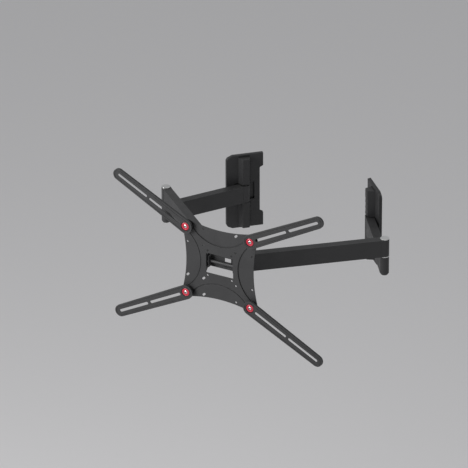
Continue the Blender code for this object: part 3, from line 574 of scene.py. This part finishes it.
def finished(item, name, material_name, body):
    """A closed piece with its edges eased, given its finish and hung on its moving body."""
    item = applied(item)
    item.name = name
    item.data.name = name
    item.data.materials.clear()
    item.data.materials.append(LOOKS[material_name])
    item.data.shade_smooth()
    item.data.set_sharp_from_angle(angle=SHARP_ANGLE)
    even = item.modifiers.new("even shading", "WEIGHTED_NORMAL")
    even.keep_sharp = True
    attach(item, body)
    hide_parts(name)
    return item


# ---------------------------------------------------------------- wall plates and covers
def plate_outline(inset=0.0):
    """Outline of the left wall plate in its own X and Z; the tabs are on the +X side."""
    left = PLATE_SHIFT - PLATE_WIDTH / 2 + inset
    right = PLATE_SHIFT + PLATE_WIDTH / 2 - inset
    top = PLATE_HEIGHT / 2 - inset
    tab_end = top - TAB_HEIGHT
    upper = [(left, top - CORNER_DROP),
             (left + CORNER_RUN * CORNER_KNEE[0], top - CORNER_DROP * CORNER_KNEE[1]),
             (left + CORNER_RUN, top), (right + TAB_REACH, top),
             (right + TAB_REACH, tab_end + TAB_SLOPE), (right, tab_end)]
    lower = [(x, -z) for x, z in reversed(upper)]
    return upper + lower


def wall_plate():
    plate = slab("plate", plate_outline(), -PLATE_THICK, 0)
    slots = []
    for x in (PLATE_SHIFT - SCREW_OFFSET, PLATE_SHIFT + SCREW_OFFSET):
        for z in (-SCREW_SPACING / 2, SCREW_SPACING / 2):
            half = SCREW_SLOT_LENGTH / 2 - SCREW_SLOT_R
            hole = slab("hole", stadium(-half, half, SCREW_SLOT_R, steps=SCREW_SLOT_STEPS),
                        -PLATE_THICK - GAP, GAP)
            slots.append(moved(hole, Matrix.Translation((x, 0, z))))
    return cut(plate, *slots)


def lug_levels():
    """Bottom and top of each of the bracket's two lugs, from the link's middle."""
    near = LINK_HEIGHT / 2 + BUSH_THICK + 2 * GAP
    return ((near, near + LUG_THICK), (-near - LUG_THICK, -near))


def hinge_bracket():
    """Channel on the plate whose two lugs hold the wall pin."""
    back = -PLATE_THICK - GAP
    levels = lug_levels()
    half_height = levels[0][1] + BRACKET_MARGIN
    web = box("web", (-BRACKET_WIDTH / 2, back - PLATE_THICK, -half_height),
              (BRACKET_WIDTH / 2, back, half_height))
    for low, high in levels:
        lug = box("lug", (-LUG_R, -HINGE_DEPTH, low), (LUG_R, back - PLATE_THICK / 2, high))
        eye = rod("eye", LUG_R, (0, -HINGE_DEPTH, low), (0, -HINGE_DEPTH, high))
        join(web, lug, eye)
    bore = rod("bore", WALL_PIN_R + RUN, (0, -HINGE_DEPTH, -half_height),
               (0, -HINGE_DEPTH, half_height), SMALL_ROUND)
    return cut(web, bore)


def ridge_prism(low, high, inset=0.0):
    """The ridge's solid, a trapezoid drawn from above, between two heights."""
    front = -RIDGE_DEPTH + inset
    slope = RIDGE_RUN / (RIDGE_DEPTH - COVER_DEPTH)
    foot = -COVER_DEPTH + inset + 2 * COVER_WALL
    top = RIDGE_TOP / 2 - inset
    bottom = top + (foot - front) * slope
    outline = [(-bottom, foot), (-top, front), (top, front), (bottom, foot)]
    return slab("ridge", outline, low, high, upright=False)


def cover(low, high, ridge_low, ridge_high):
    """Moulded shell over a wall plate from low to high, open at the back."""
    back = -PLATE_THICK - GAP
    shell = bevel(slab("shell", plate_outline(), -COVER_DEPTH, 0), COVER_EDGE, 5, 40)
    wide = PLATE_WIDTH
    shell = join(shell, ridge_prism(ridge_low, ridge_high))
    cut(shell, box("back", (-wide, back, -1), (wide, 1, 1)))
    hollow = slab("hollow", plate_outline(COVER_WALL), -COVER_DEPTH + COVER_WALL, MM)
    cut(hollow, box("above", (-wide, -1, high - COVER_WALL), (wide, 1, 1)),
        box("below", (-wide, -1, -1), (wide, 1, low + COVER_WALL)))
    return cut(shell, applied(hollow), box("above", (-wide, -1, high), (wide, 1, 1)),
               box("below", (-wide, -1, -1), (wide, 1, low)))


def louvres(top):
    """Saw-tooth cutter: each tooth starts deep at its top and runs out to the front."""
    front = -RIDGE_DEPTH - MM
    wide = RIDGE_TOP / 2 + RIDGE_RUN + 2 * MM
    deep = -RIDGE_DEPTH + LOUVRE_DEPTH
    shallow = -RIDGE_DEPTH + LOUVRE_DEPTH * LOUVRE_FOOT
    outline = [(front, top)]
    for step in range(LOUVRE_COUNT):
        outline.append((deep, top - step * LOUVRE_PITCH))
        outline.append((shallow, top - (step + LOUVRE_SLOPE) * LOUVRE_PITCH))
    bottom = top - (LOUVRE_COUNT + 0.3) * LOUVRE_PITCH
    outline += [(deep, top - LOUVRE_COUNT * LOUVRE_PITCH), (deep, bottom), (front, bottom)]
    teeth = slab("teeth", outline, -wide, wide)
    return moved(teeth, Matrix.Rotation(math.pi / 2, 4, "Z"))


def upper_cover():
    """Its wings run down past the link; its ridge stops above it and has louvres."""
    split = -LINK_HEIGHT / 2 - BUSH_THICK - GAP
    ridge_low = LINK_HEIGHT / 2 + BUSH_THICK
    top = PLATE_HEIGHT / 2
    shell = cover(split, top, 0, top - RIDGE_END)
    throat = ridge_prism(-MM, top - RIDGE_END - COVER_WALL, COVER_WALL)
    mouth = box("mouth", (-MOUTH_WIDTH / 2, -1, -1), (MOUTH_WIDTH / 2, 1, ridge_low))
    louvre_top = ridge_low + LOUVRE_COUNT * LOUVRE_PITCH
    return cut(shell, throat, mouth, louvres(louvre_top))


def lower_cover():
    top = -LINK_HEIGHT / 2 - BUSH_THICK - 2 * GAP
    bottom = -PLATE_HEIGHT / 2
    shell = cover(bottom, top, bottom + RIDGE_END, top + MM)
    throat = ridge_prism(bottom + RIDGE_END + COVER_WALL, top + 2 * MM, COVER_WALL)
    half = BRACKET_WIDTH / 2 + MM
    relief = box("relief", (-half, -COVER_DEPTH + 1.1 * COVER_WALL, top - BRACKET_MARGIN),
                 (half, MM, top + MM))
    return cut(shell, throat, relief)


def pin(name, radius, low, high, head_radius, head_thick):
    """Riveted pin with a chamfered head beyond each end of its shank."""
    edge = head_thick * 0.25
    profile = [(0, high + head_thick), (head_radius - edge, high + head_thick),
               (head_radius, high + head_thick - edge), (head_radius, high), (radius, high),
               (radius, low), (head_radius, low), (head_radius, low - head_thick + edge),
               (head_radius - edge, low - head_thick), (0, low - head_thick)]
    return turned(name, profile, SMALL_ROUND)


def bush(name, outer, inner, low, high):
    """Plain nylon ring."""
    ring = rod(name, outer, (0, 0, low), (0, 0, high), SMALL_ROUND)
    return cut(ring, rod("bore", inner, (0, 0, low - MM), (0, 0, high + MM), SMALL_ROUND))


def washer(name, outer, inner, low, high):
    """Metal ring with eased outer edges."""
    edge = min(0.35 * MM, (high - low) / 4)
    ring = turned(name, [(0, high), (outer - edge, high), (outer, high - edge),
                         (outer, low + edge), (outer - edge, low), (0, low)])
    return cut(ring, rod("bore", inner, (0, 0, low - MM), (0, 0, high + MM)))


def make_wall_set(side):
    """Everything that stays on one wall."""
    at = PLATE_AT[side] + Vector((0, 0, REAR_MIDDLE))
    turn = WALL_TURN[side]
    hinge = WALL_HINGE_AT[side] + Vector((0, 0, REAR_MIDDLE))
    pieces = (("wall_plate", wall_plate(), "black_powder_coat"),
              ("hinge_bracket", hinge_bracket(), "black_powder_coat"),
              ("upper_cover", upper_cover(), "black_plastic"),
              ("lower_cover", lower_cover(), "black_plastic"))
    for name, item, look in pieces:
        if side == "right":
            item = mirrored(item)
        finished(placed(item, at, turn), f"{name}_{side}", look, f"wall_{side}")
    levels = lug_levels()
    wall_pin = pin("pin", WALL_PIN_R, levels[1][0] - GAP, levels[0][1] + GAP, WALL_PIN_HEAD_R,
                   PIN_HEAD_THICK)
    finished(placed(wall_pin, hinge), f"wall_pin_{side}", "bright_zinc", f"wall_{side}")
    near = LINK_HEIGHT / 2 + GAP
    for name, low in (("upper", near), ("lower", -near - BUSH_THICK)):
        ring = bush("bush", BUSH_R, WALL_PIN_R + RUN, low, low + BUSH_THICK)
        finished(placed(ring, hinge), f"wall_bush_{name}_{side}", "white_nylon",
                 f"wall_{side}")


# ---------------------------------------------------------------- links and elbows
def link(length, bore_near, bore_far, low, high):
    """Tube with round ends along +X, hollow, open into the bore at its far end."""
    bar = slab("bar", stadium(0, length, KNUCKLE_R), low, high, upright=False)
    waist = KNUCKLE_R - LINK_WIDTH / 2
    sides = []
    for sign in (-1, 1):
        y = sign * (LINK_WIDTH / 2 + waist)
        edges = sorted((sign * LINK_WIDTH / 2, y + sign * MM))
        sides.append(box("flat", (KNUCKLE_R, edges[0], low - MM),
                         (length - KNUCKLE_R, edges[1], high + MM)))
    bar = bevel(cut(bar, *sides), LINK_EDGE, 6, 60)
    inner = LINK_WIDTH / 2 - LINK_WALL
    neck = length - KNUCKLE_R * 1.5
    hollow = box("hollow", (KNUCKLE_R * 1.5, -inner, low + LINK_WALL),
                 (neck, inner, high - LINK_WALL))
    ends = (rod("bore", bore_near, (0, 0, low - BORE_PAST), (0, 0, high + MM), SMALL_ROUND),
            rod("bore", bore_far, (length, 0, low - BORE_PAST), (length, 0, high + MM),
                SMALL_ROUND))
    throat = box("throat", (neck - MM, -bore_far * 0.6, low + 3 * LINK_WALL),
                 (length, bore_far * 0.6, high - 3 * LINK_WALL))
    return bar, (hollow, throat, *ends)


def rear_link():
    low, high = -LINK_HEIGHT / 2, LINK_HEIGHT / 2
    bar, cuts = link(REAR_LENGTH, WALL_PIN_R + RUN, ELBOW_PIN_R + RUN, low, high)
    boss = rod("boss", BOSS_TIP_R, (REAR_LENGTH, 0, low - BOSS_DROP),
               (REAR_LENGTH, 0, low + LINK_EDGE * 2), ROUND, KNUCKLE_R - 0.4 * MM)
    return cut(join(bar, boss), *cuts)


def front_link():
    """Drawn from the head hinge to the elbow."""
    low, high = FRONT_BOTTOM, FRONT_TOP
    bar, cuts = link(FRONT_LENGTH, HEAD_PIN_R + RUN, ELBOW_PIN_R + RUN, low, high)
    fork = box("fork", (-KNUCKLE_R - MM, -LINK_WIDTH, low + FORK_WALL),
               (FORK_DEPTH, LINK_WIDTH, high - FORK_WALL))
    return cut(bar, *cuts, fork)


def make_arm(side):
    rear_parent, front_parent = f"rear_arm_{side}", f"front_arm_{side}"
    hinge = WALL_HINGE_AT[side] + Vector((0, 0, REAR_MIDDLE))
    elbow = ELBOW_AT[side]
    finished(placed(rear_link(), hinge, REAR_HEADING[side]), f"rear_link_{side}",
             "black_powder_coat", rear_parent)
    finished(placed(front_link(), HEAD_AT[side], FRONT_HEADING[side]), f"front_link_{side}",
             "black_powder_coat", front_parent)
    bottom = REAR_BOTTOM - BOSS_DROP
    elbow_pin = turned("pin", [(0, FRONT_TOP - GAP), (ELBOW_PIN_R, FRONT_TOP - GAP),
                               (ELBOW_PIN_R, bottom - GAP), (PIN_HEAD_R, bottom - GAP),
                               (PIN_HEAD_R, bottom - PIN_HEAD_THICK * 0.7),
                               (PIN_HEAD_R * 0.8, bottom - PIN_HEAD_THICK),
                               (0, bottom - PIN_HEAD_THICK)])
    finished(placed(elbow_pin, elbow), f"elbow_pin_{side}", "bright_zinc", rear_parent)
    ring = washer("ring", KNUCKLE_R + 0.4 * MM, ELBOW_PIN_R + RUN, REAR_TOP + GAP,
                  REAR_TOP + GAP + ELBOW_RING_THICK)
    finished(placed(ring, elbow), f"elbow_ring_{side}", "bright_zinc", rear_parent)
    base = FRONT_TOP + GAP
    cap = turned("cap", [(0, base + ELBOW_CAP_THICK), (KNUCKLE_R * 0.6, base + ELBOW_CAP_THICK),
                         (KNUCKLE_R - 0.8 * MM, base + ELBOW_CAP_THICK * 0.8),
                         (KNUCKLE_R, base + ELBOW_CAP_THICK * 0.45), (KNUCKLE_R, base),
                         (0, base)])
    finished(placed(cap, elbow), f"elbow_cap_{side}", "bright_zinc", front_parent)


# ---------------------------------------------------------------- head
def flange_levels():
    """Bottom and top of each flange, inside the forked ends of the front links."""
    room = FORK_WALL + BUSH_THICK + 2 * GAP
    upper, lower = FRONT_TOP - room, FRONT_BOTTOM + room
    return ((upper - FLANGE_THICK, upper), (lower, lower + FLANGE_THICK))


def cheek_half():
    """Outer half width over the carrier's cheeks, inside the plate's ears and washers."""
    return WINDOW_HALF[0] - TILT_WASHER_THICK - 2 * GAP


def tilt_bore():
    """Cutter for the tilt bolt, through the cheeks and the ears."""
    return rod("bore", TILT_PIN_R + RUN, (-1, TILT_BACK, 0), (1, TILT_BACK, 0), SMALL_ROUND)


def head_carrier():
    outer = cheek_half()
    waist = HEAD_HALF - 1.3 * CARRIER_R
    shape = ([(outer, CARRIER_FRONT), (outer, CARRIER_NECK)]
             + arc((HEAD_HALF, HEAD_BACK), CARRIER_R, -math.pi / 4, 3 * math.pi / 4)
             + [(waist, CARRIER_BACK), (-waist, CARRIER_BACK)]
             + arc((-HEAD_HALF, HEAD_BACK), CARRIER_R, math.pi / 4, 5 * math.pi / 4)
             + [(-outer, CARRIER_NECK), (-outer, CARRIER_FRONT)])
    (upper_low, upper_high), (lower_low, lower_high) = flange_levels()
    top = slab("flange", shape, upper_low, upper_high, upright=False)
    bottom = slab("flange", shape, lower_low, lower_high, upright=False)
    inset = FLANGE_THICK / 6
    web = box("web", (-outer + inset, CARRIER_FRONT + inset, lower_low + inset),
              (outer - inset, CARRIER_FRONT + FLANGE_THICK, upper_high - inset))
    body = join(top, bottom, web)
    for sign in (-1, 1):
        edges = sorted((sign * outer, sign * (outer - FLANGE_THICK)))
        cheek = box("cheek", (edges[0], CHEEK_FRONT, -CHEEK_HALF_HEIGHT),
                    (edges[1], CARRIER_FRONT + FLANGE_THICK / 2, CHEEK_HALF_HEIGHT))
        join(body, cheek)
    window = box("window", (CARRIER_WINDOW[0], 0, -CARRIER_WINDOW_HALF),
                 (CARRIER_WINDOW[1], CARRIER_NECK, CARRIER_WINDOW_HALF))
    bores = [rod("bore", HEAD_PIN_R + RUN, (x, HEAD_BACK, -1), (x, HEAD_BACK, 1), SMALL_ROUND)
             for x in (-HEAD_HALF, HEAD_HALF)]
    return cut(body, window, tilt_bore(), *bores)


def make_head():
    finished(placed(head_carrier(), (0, 0, 0)), "head_carrier", "black_powder_coat", "head")
    levels = flange_levels()
    for side, at in HEAD_AT.items():
        head_pin = pin("pin", HEAD_PIN_R, FRONT_BOTTOM - GAP, FRONT_TOP + GAP, PIN_HEAD_R,
                       PIN_HEAD_THICK)
        finished(placed(head_pin, at), f"head_pin_{side}", "bright_zinc", "head")
        for name, low in (("upper", levels[0][1] + GAP),
                          ("lower", levels[1][0] - GAP - BUSH_THICK)):
            ring = bush("bush", KNUCKLE_R - MM, HEAD_PIN_R + RUN, low, low + BUSH_THICK)
            finished(placed(ring, at), f"head_bush_{name}_{side}", "white_nylon",
                     "head")


# ---------------------------------------------------------------- screen plate
def cross_outline(mid_half, corner_r):
    """Four concave sides, each an arc tangent to the round corners at the adapter screws."""
    c = SCREW_HALF
    side_r = (c * c + (mid_half - c) ** 2 - corner_r ** 2) / (2 * (corner_r - (mid_half - c)))
    reach = math.atan2(c, mid_half + side_r - c)
    outline = []
    for quarter in range(4):
        turn = quarter * math.pi / 2
        side = arc((0, mid_half + side_r), side_r, -math.pi / 2 + reach, -math.pi / 2 - reach)
        corner = arc((-c, c), corner_r, math.pi / 2 - reach, math.pi + reach, CORNER_STEPS)
        for u, v in side + corner[1:-1]:
            outline.append((u * math.cos(turn) - v * math.sin(turn),
                            u * math.sin(turn) + v * math.cos(turn)))
    return outline


def ear(sign):
    """Side of the window bent back, rounded about the tilt axis."""
    inner = WINDOW_HALF[0] + GAP / 3
    low, high = sorted((sign * inner, sign * (inner + SHEET)))
    root = TILT_BACK - SHEET / 2
    side = (math.atan2(EAR_ROOT, -root)
            - math.acos(EAR_R / math.hypot(root, EAR_ROOT)))
    shape = ([(SHEET / 2, -EAR_ROOT)]
             + arc((TILT_BACK, 0), EAR_R, -side, side, EAR_STEPS)
             + [(SHEET / 2, EAR_ROOT)])
    plate = slab("ear", shape, -high, -low)
    return moved(plate, Matrix.Rotation(math.pi / 2, 4, "Z"))


def plate_holes():
    """Round holes and short slanting slots of the screen patterns."""
    near, far = -MM, EMBOSS + SHEET + MM
    holes = []
    for half in SMALL_PATTERNS:
        for sx in (-1, 1):
            for sz in (-1, 1):
                slotted = half == SMALL_PATTERNS[1] and sx == sz == -1
                holes.append((sx * half, sz * half, slotted))
    for sx in (-1, 1):
        for sz in (-1, 1):
            x, z = sx * SCREW_HALF, sz * SIDE_PATTERN
            holes.append((x, z, sx == sz == -1))
            holes.append((sx * SIDE_PATTERN, sz * SCREW_HALF, sx * sz == 1))
    cutters = []
    for x, z, slotted in holes:
        if slotted:
            hole = slab("hole", stadium(-SLOT_TRAVEL / 2, SLOT_TRAVEL / 2, HOLE_R,
                                        steps=HOLE_SLOT_STEPS),
                        near, far)
            moved(hole, Matrix.Rotation(-math.pi / 4, 4, "Y"))
        else:
            hole = rod("hole", HOLE_R, (0, near, 0), (0, far, 0), HOLE_ROUND)
        cutters.append(moved(hole, Matrix.Translation((x, 0, z))))
    return cutters


def screen_plate():
    """Pressed sheet: the cross stands forward of the four side lobes."""
    sheet = slab("sheet", cross_outline(PLATE_MID_HALF, PLATE_CORNER_R), EMBOSS, EMBOSS + SHEET)
    cross = slab("cross", cross_outline(CROSS_MID_HALF, CROSS_CORNER_R), 0, EMBOSS + MM)
    pocket = slab("pocket", cross_outline(CROSS_MID_HALF - SHEET, CROSS_CORNER_R - SHEET),
                  SHEET, EMBOSS + SHEET + MM)
    body = join(sheet, cross)
    cut(body, pocket)
    half = GROOVE / 2
    groove = slab("groove", cross_outline(CROSS_MID_HALF + half, CROSS_CORNER_R + half),
                  -MM, EMBOSS + GROOVE_DEPTH)
    island = slab("island", cross_outline(CROSS_MID_HALF - half, CROSS_CORNER_R - half),
                  -2 * MM, SHEET)
    cut(body, applied(cut(groove, island)))
    w, h = WINDOW_HALF
    cut(body, box("window", (-w, -1, -h), (w, 1, h)))
    join(body, ear(-1), ear(1))
    screws = [rod("bore", ARM_SCREW_R + RUN, (sx * SCREW_HALF, -MM, sz * SCREW_HALF),
                  (sx * SCREW_HALF, EMBOSS + SHEET + MM, sz * SCREW_HALF), SMALL_ROUND)
              for sx in (-1, 1) for sz in (-1, 1)]
    return cut(body, tilt_bore(), *screws, *plate_holes())


def make_tilt():
    """Bolt through both ears and both cheeks, with its washers and its nut."""
    ear_outer = WINDOW_HALF[0] + SHEET + GAP
    to_x = Matrix.Rotation(math.pi / 2, 4, "Y")
    tip = ear_outer + TILT_HEAD_THICK + TILT_BOLT_PAST
    head_low = -ear_outer - TILT_HEAD_THICK
    bolt = turned("bolt", [(0, tip), (TILT_PIN_R - MM, tip), (TILT_PIN_R, tip - MM),
                           (TILT_PIN_R, -ear_outer), (TILT_HEAD_R, -ear_outer),
                           (TILT_HEAD_R, head_low + MM), (TILT_HEAD_R - MM, head_low),
                           (0, head_low)])
    moved(bolt, Matrix.Translation((0, TILT_BACK, 0)) @ to_x)
    finished(placed(bolt, (0, 0, 0)), "tilt_bolt", "black_powder_coat", "head")
    nut = rod("nut", TILT_HEAD_R, (0, 0, ear_outer + GAP),
              (0, 0, ear_outer + GAP + TILT_HEAD_THICK + MM), HEX)
    nut = cut(bevel(nut, NUT_CHAMFER, 1),
              rod("bore", TILT_PIN_R + RUN, (0, 0, 0), (0, 0, 1), SMALL_ROUND))
    nut = moved(applied(nut), Matrix.Translation((0, TILT_BACK, 0)) @ to_x)
    finished(placed(nut, (0, 0, 0)), "tilt_nut", "black_powder_coat", "head")
    for name, sign in (("left", -1), ("right", 1)):
        low = cheek_half() + GAP
        ring = applied(bush("washer", TILT_WASHER_R, TILT_PIN_R + RUN, low,
                            low + TILT_WASHER_THICK))
        if sign < 0:
            moved(ring, Matrix.Rotation(math.pi, 4, "X"))
        ring = moved(ring, Matrix.Translation((0, TILT_BACK, 0)) @ to_x)
        finished(placed(ring, (0, 0, 0)), f"tilt_washer_{name}", "white_nylon", "head")


# ---------------------------------------------------------------- adapter arms
def adapter_arm():
    """Slotted pan along +X from its screw, open at the back, its front towards -Y."""
    tip = ARM_REACH - ARM_TIP_R
    front = -ARM_STAND
    back = front + ARM_DEPTH
    pan = bevel(slab("arm", stadium(0, tip, ARM_ROOT_R, ARM_TIP_R, ARM_END_STEPS), front,
                     back + ARM_DEPTH), ARM_EDGE, 7, 60)
    wide = 2 * ARM_REACH
    cut(pan, box("behind", (-wide, back, -wide), (wide, wide, wide)))
    cut(pan, slab("hollow", stadium(0, tip, ARM_ROOT_R - ARM_SHEET, ARM_TIP_R - ARM_SHEET,
                                    ARM_END_STEPS), front + ARM_SHEET, back + MM))
    floor = -GAP - ARM_SHEET
    join(pan, rod("dish", DISH_R + ARM_SHEET, (0, front + ARM_SHEET / 2, 0), (0, -GAP, 0)))
    cut(pan, rod("dish_hollow", DISH_R, (0, front - MM, 0), (0, floor, 0)))
    rim = ARM_EDGE + LINE_WIDTH / 2
    inner = rim + LINE_WIDTH
    line = slab("line", stadium(0, tip, ARM_ROOT_R - rim, ARM_TIP_R - rim, ARM_END_STEPS),
                front - MM, front + LINE_DEPTH)
    centre = slab("centre", stadium(0, tip, ARM_ROOT_R - inner, ARM_TIP_R - inner,
                                    ARM_END_STEPS), front - 2 * MM, front + MM)
    dish_rim = rod("dish_rim", DISH_R + ARM_SHEET, (0, front - 3 * MM, 0), (0, front + 2 * MM, 0))
    cut(pan, applied(cut(line, centre, dish_rim)))
    for start, end in ARM_SLOTS:
        cut(pan, slab("slot", stadium(start + ARM_SLOT_R, end - ARM_SLOT_R, ARM_SLOT_R,
                                      steps=ARM_SLOT_STEPS), front - MM, back + MM))
    bore = rod("bore", ARM_SCREW_R + RUN, (0, front - MM, 0), (0, MM, 0), SMALL_ROUND)
    return cut(pan, bore)


CORNERS = {"upper_left": (-1, 1), "upper_right": (1, 1), "lower_right": (1, -1),
           "lower_left": (-1, -1)}


def arm_turn(sx, sz):
    """Turn about Y that points an arm outwards at its angle."""
    angle = ARM_ANGLE if sx > 0 else math.pi - ARM_ANGLE
    return -sz * angle


def make_adapters():
    """Each corner's arm, and the disc, screw and nut that clamp it."""
    out = Matrix.Rotation(math.pi / 2, 4, "X")
    low, high = 2 * GAP + ARM_SHEET, ARM_STAND - DISC_SINK
    head = ARM_STAND - CAP_SINK - CAP_THICK
    rim = DISC_R * DISC_LINE_AT
    for name, (sx, sz) in CORNERS.items():
        at = Vector((sx * SCREW_HALF, 0, sz * SCREW_HALF))
        arm = placed(adapter_arm(), at)
        arm.rotation_euler = (0, arm_turn(sx, sz), 0)
        finished(arm, f"adapter_arm_{name}", "black_powder_coat", f"adapter_{name}")

        disc = turned("disc", [(0, high), (rim - 1.1 * MM, high),
                               (rim - 0.7 * MM, high - DISC_LINE),
                               (rim, high - DISC_LINE), (rim + 0.4 * MM, high),
                               (DISC_R - DISC_TAPER, high), (DISC_R - 0.5 * MM, high - 0.5 * MM),
                               (DISC_R, high - DISC_TAPER), (DISC_R, low), (0, low)])
        disc = cut(disc, rod("bore", ARM_SCREW_R + RUN, (0, 0, 0), (0, 0, 1), SMALL_ROUND),
                   rod("seat", CAP_R + GAP, (0, 0, head - GAP), (0, 0, 1)))
        disc = moved(applied(disc), out)
        finished(placed(disc, at), f"clamp_disc_{name}", "red_plastic", "screen")

        screw_end = -(EMBOSS + SHEET + 2 * GAP + NUT_THICK + 2 * MM)
        top = head + CAP_THICK
        turns = [math.pi / 2 * step / DOME_STEPS for step in range(DOME_STEPS + 1)]
        dome = [(CAP_R * math.sin(turn), top - CAP_R * DOME_RISE * (1 - math.cos(turn)))
                for turn in turns]
        screw = turned("screw", dome + [(CAP_R, head), (ARM_SCREW_R, head),
                                        (ARM_SCREW_R, screw_end + MM),
                                        (ARM_SCREW_R - MM, screw_end), (0, screw_end)])
        socket = rod("socket", SOCKET_R, (0, 0, top - SOCKET_DEPTH), (0, 0, top + MM), HEX)
        finished(placed(moved(applied(cut(screw, socket)), out), at), f"clamp_screw_{name}",
                 "bright_zinc", "screen")

        nut_low = EMBOSS + SHEET + GAP
        nut = rod("nut", NUT_R, (0, nut_low, 0), (0, nut_low + NUT_THICK, 0), HEX)
        nut = cut(bevel(nut, NUT_CHAMFER, 3),
                  rod("bore", ARM_SCREW_R + RUN, (0, 0, 0), (0, 1, 0), SMALL_ROUND))
        finished(placed(nut, at), f"clamp_nut_{name}", "bright_zinc", "screen")


# ---------------------------------------------------------------- assembly
def make_mount():
    for side in ("left", "right"):
        make_wall_set(side)
        make_arm(side)
    make_head()
    finished(placed(screen_plate(), (0, 0, 0)), "screen_plate", "black_powder_coat", "screen")
    make_tilt()
    make_adapters()


# ---------------------------------------------------------------- studio
FLOOR_Z = -1.6                  # far enough below for its shadow to fall out of sight
FLOOR_SIZE = 40
SCREEN_AT = -ORIGIN             # middle of the screen plate's front
LIGHT_CENTRE = SCREEN_AT + Vector((0, 0.25, 0))

CAMERA_FROM_SCREEN = Vector((6.013, -10.643, 6.183))
CAMERA_TURN = math.radians(29.28)
CAMERA_DOWN = math.radians(26.47)
CAMERA_ROLL = math.radians(-0.16)
CAMERA_SENSOR = 36
CAMERA_LENS = 388.77
CAMERA_REACH = 100


def make_floor():
    bpy.ops.mesh.primitive_plane_add(size=FLOOR_SIZE, location=(0, 0, FLOOR_Z))
    floor = bpy.context.object
    floor.name = "floor"
    paint = bpy.data.materials.new("pale_floor")
    paint.use_nodes = True
    shader = paint.node_tree.nodes["Principled BSDF"]
    shader.inputs["Base Color"].default_value = (0.8, 0.79, 0.79, 1)
    shader.inputs["Roughness"].default_value = 0.9
    floor.data.materials.append(paint)


def make_light(name, energy, size, direction, distance=3.0):
    """A square soft light that shines on the screen plate from a direction."""
    data = bpy.data.lights.new(name, "AREA")
    data.shape = "SQUARE"
    data.energy = energy
    data.size = size
    light = bpy.data.objects.new(name, data)
    bpy.context.scene.collection.objects.link(light)
    away = Vector(direction).normalized()
    light.location = LIGHT_CENTRE + away * distance
    light.rotation_mode = "QUATERNION"
    light.rotation_quaternion = away.to_track_quat("Z", "Y")


def make_studio():
    make_floor()
    make_light("key", energy=82, size=1.6, direction=(-0.55, -0.8, 0.32))
    make_light("fill", energy=4, size=2.4, direction=(0.9, -0.6, 0.35))
    make_light("top", energy=9, size=2.4, direction=(0.1, 0.15, 1.0))
    world = bpy.data.worlds.new("studio")
    bpy.context.scene.world = world
    world.use_nodes = True
    background = world.node_tree.nodes["Background"]
    background.inputs["Color"].default_value = (0.8, 0.81, 0.83, 1)
    background.inputs["Strength"].default_value = 0.5
    bpy.context.scene.view_settings.view_transform = "Standard"


def make_camera():
    """A long lens from the front right, above the mount."""
    data = bpy.data.cameras.new("camera")
    data.sensor_width = CAMERA_SENSOR
    data.lens = CAMERA_LENS
    data.clip_end = CAMERA_REACH
    camera = bpy.data.objects.new("camera", data)
    bpy.context.scene.collection.objects.link(camera)
    camera.matrix_world = (Matrix.Translation(SCREEN_AT + CAMERA_FROM_SCREEN)
                           @ Matrix.Rotation(CAMERA_TURN, 4, "Z")
                           @ Matrix.Rotation(math.pi / 2 - CAMERA_DOWN, 4, "X")
                           @ Matrix.Rotation(CAMERA_ROLL, 4, "Z"))
    bpy.context.scene.camera = camera


make_mount()
make_studio()
make_camera()
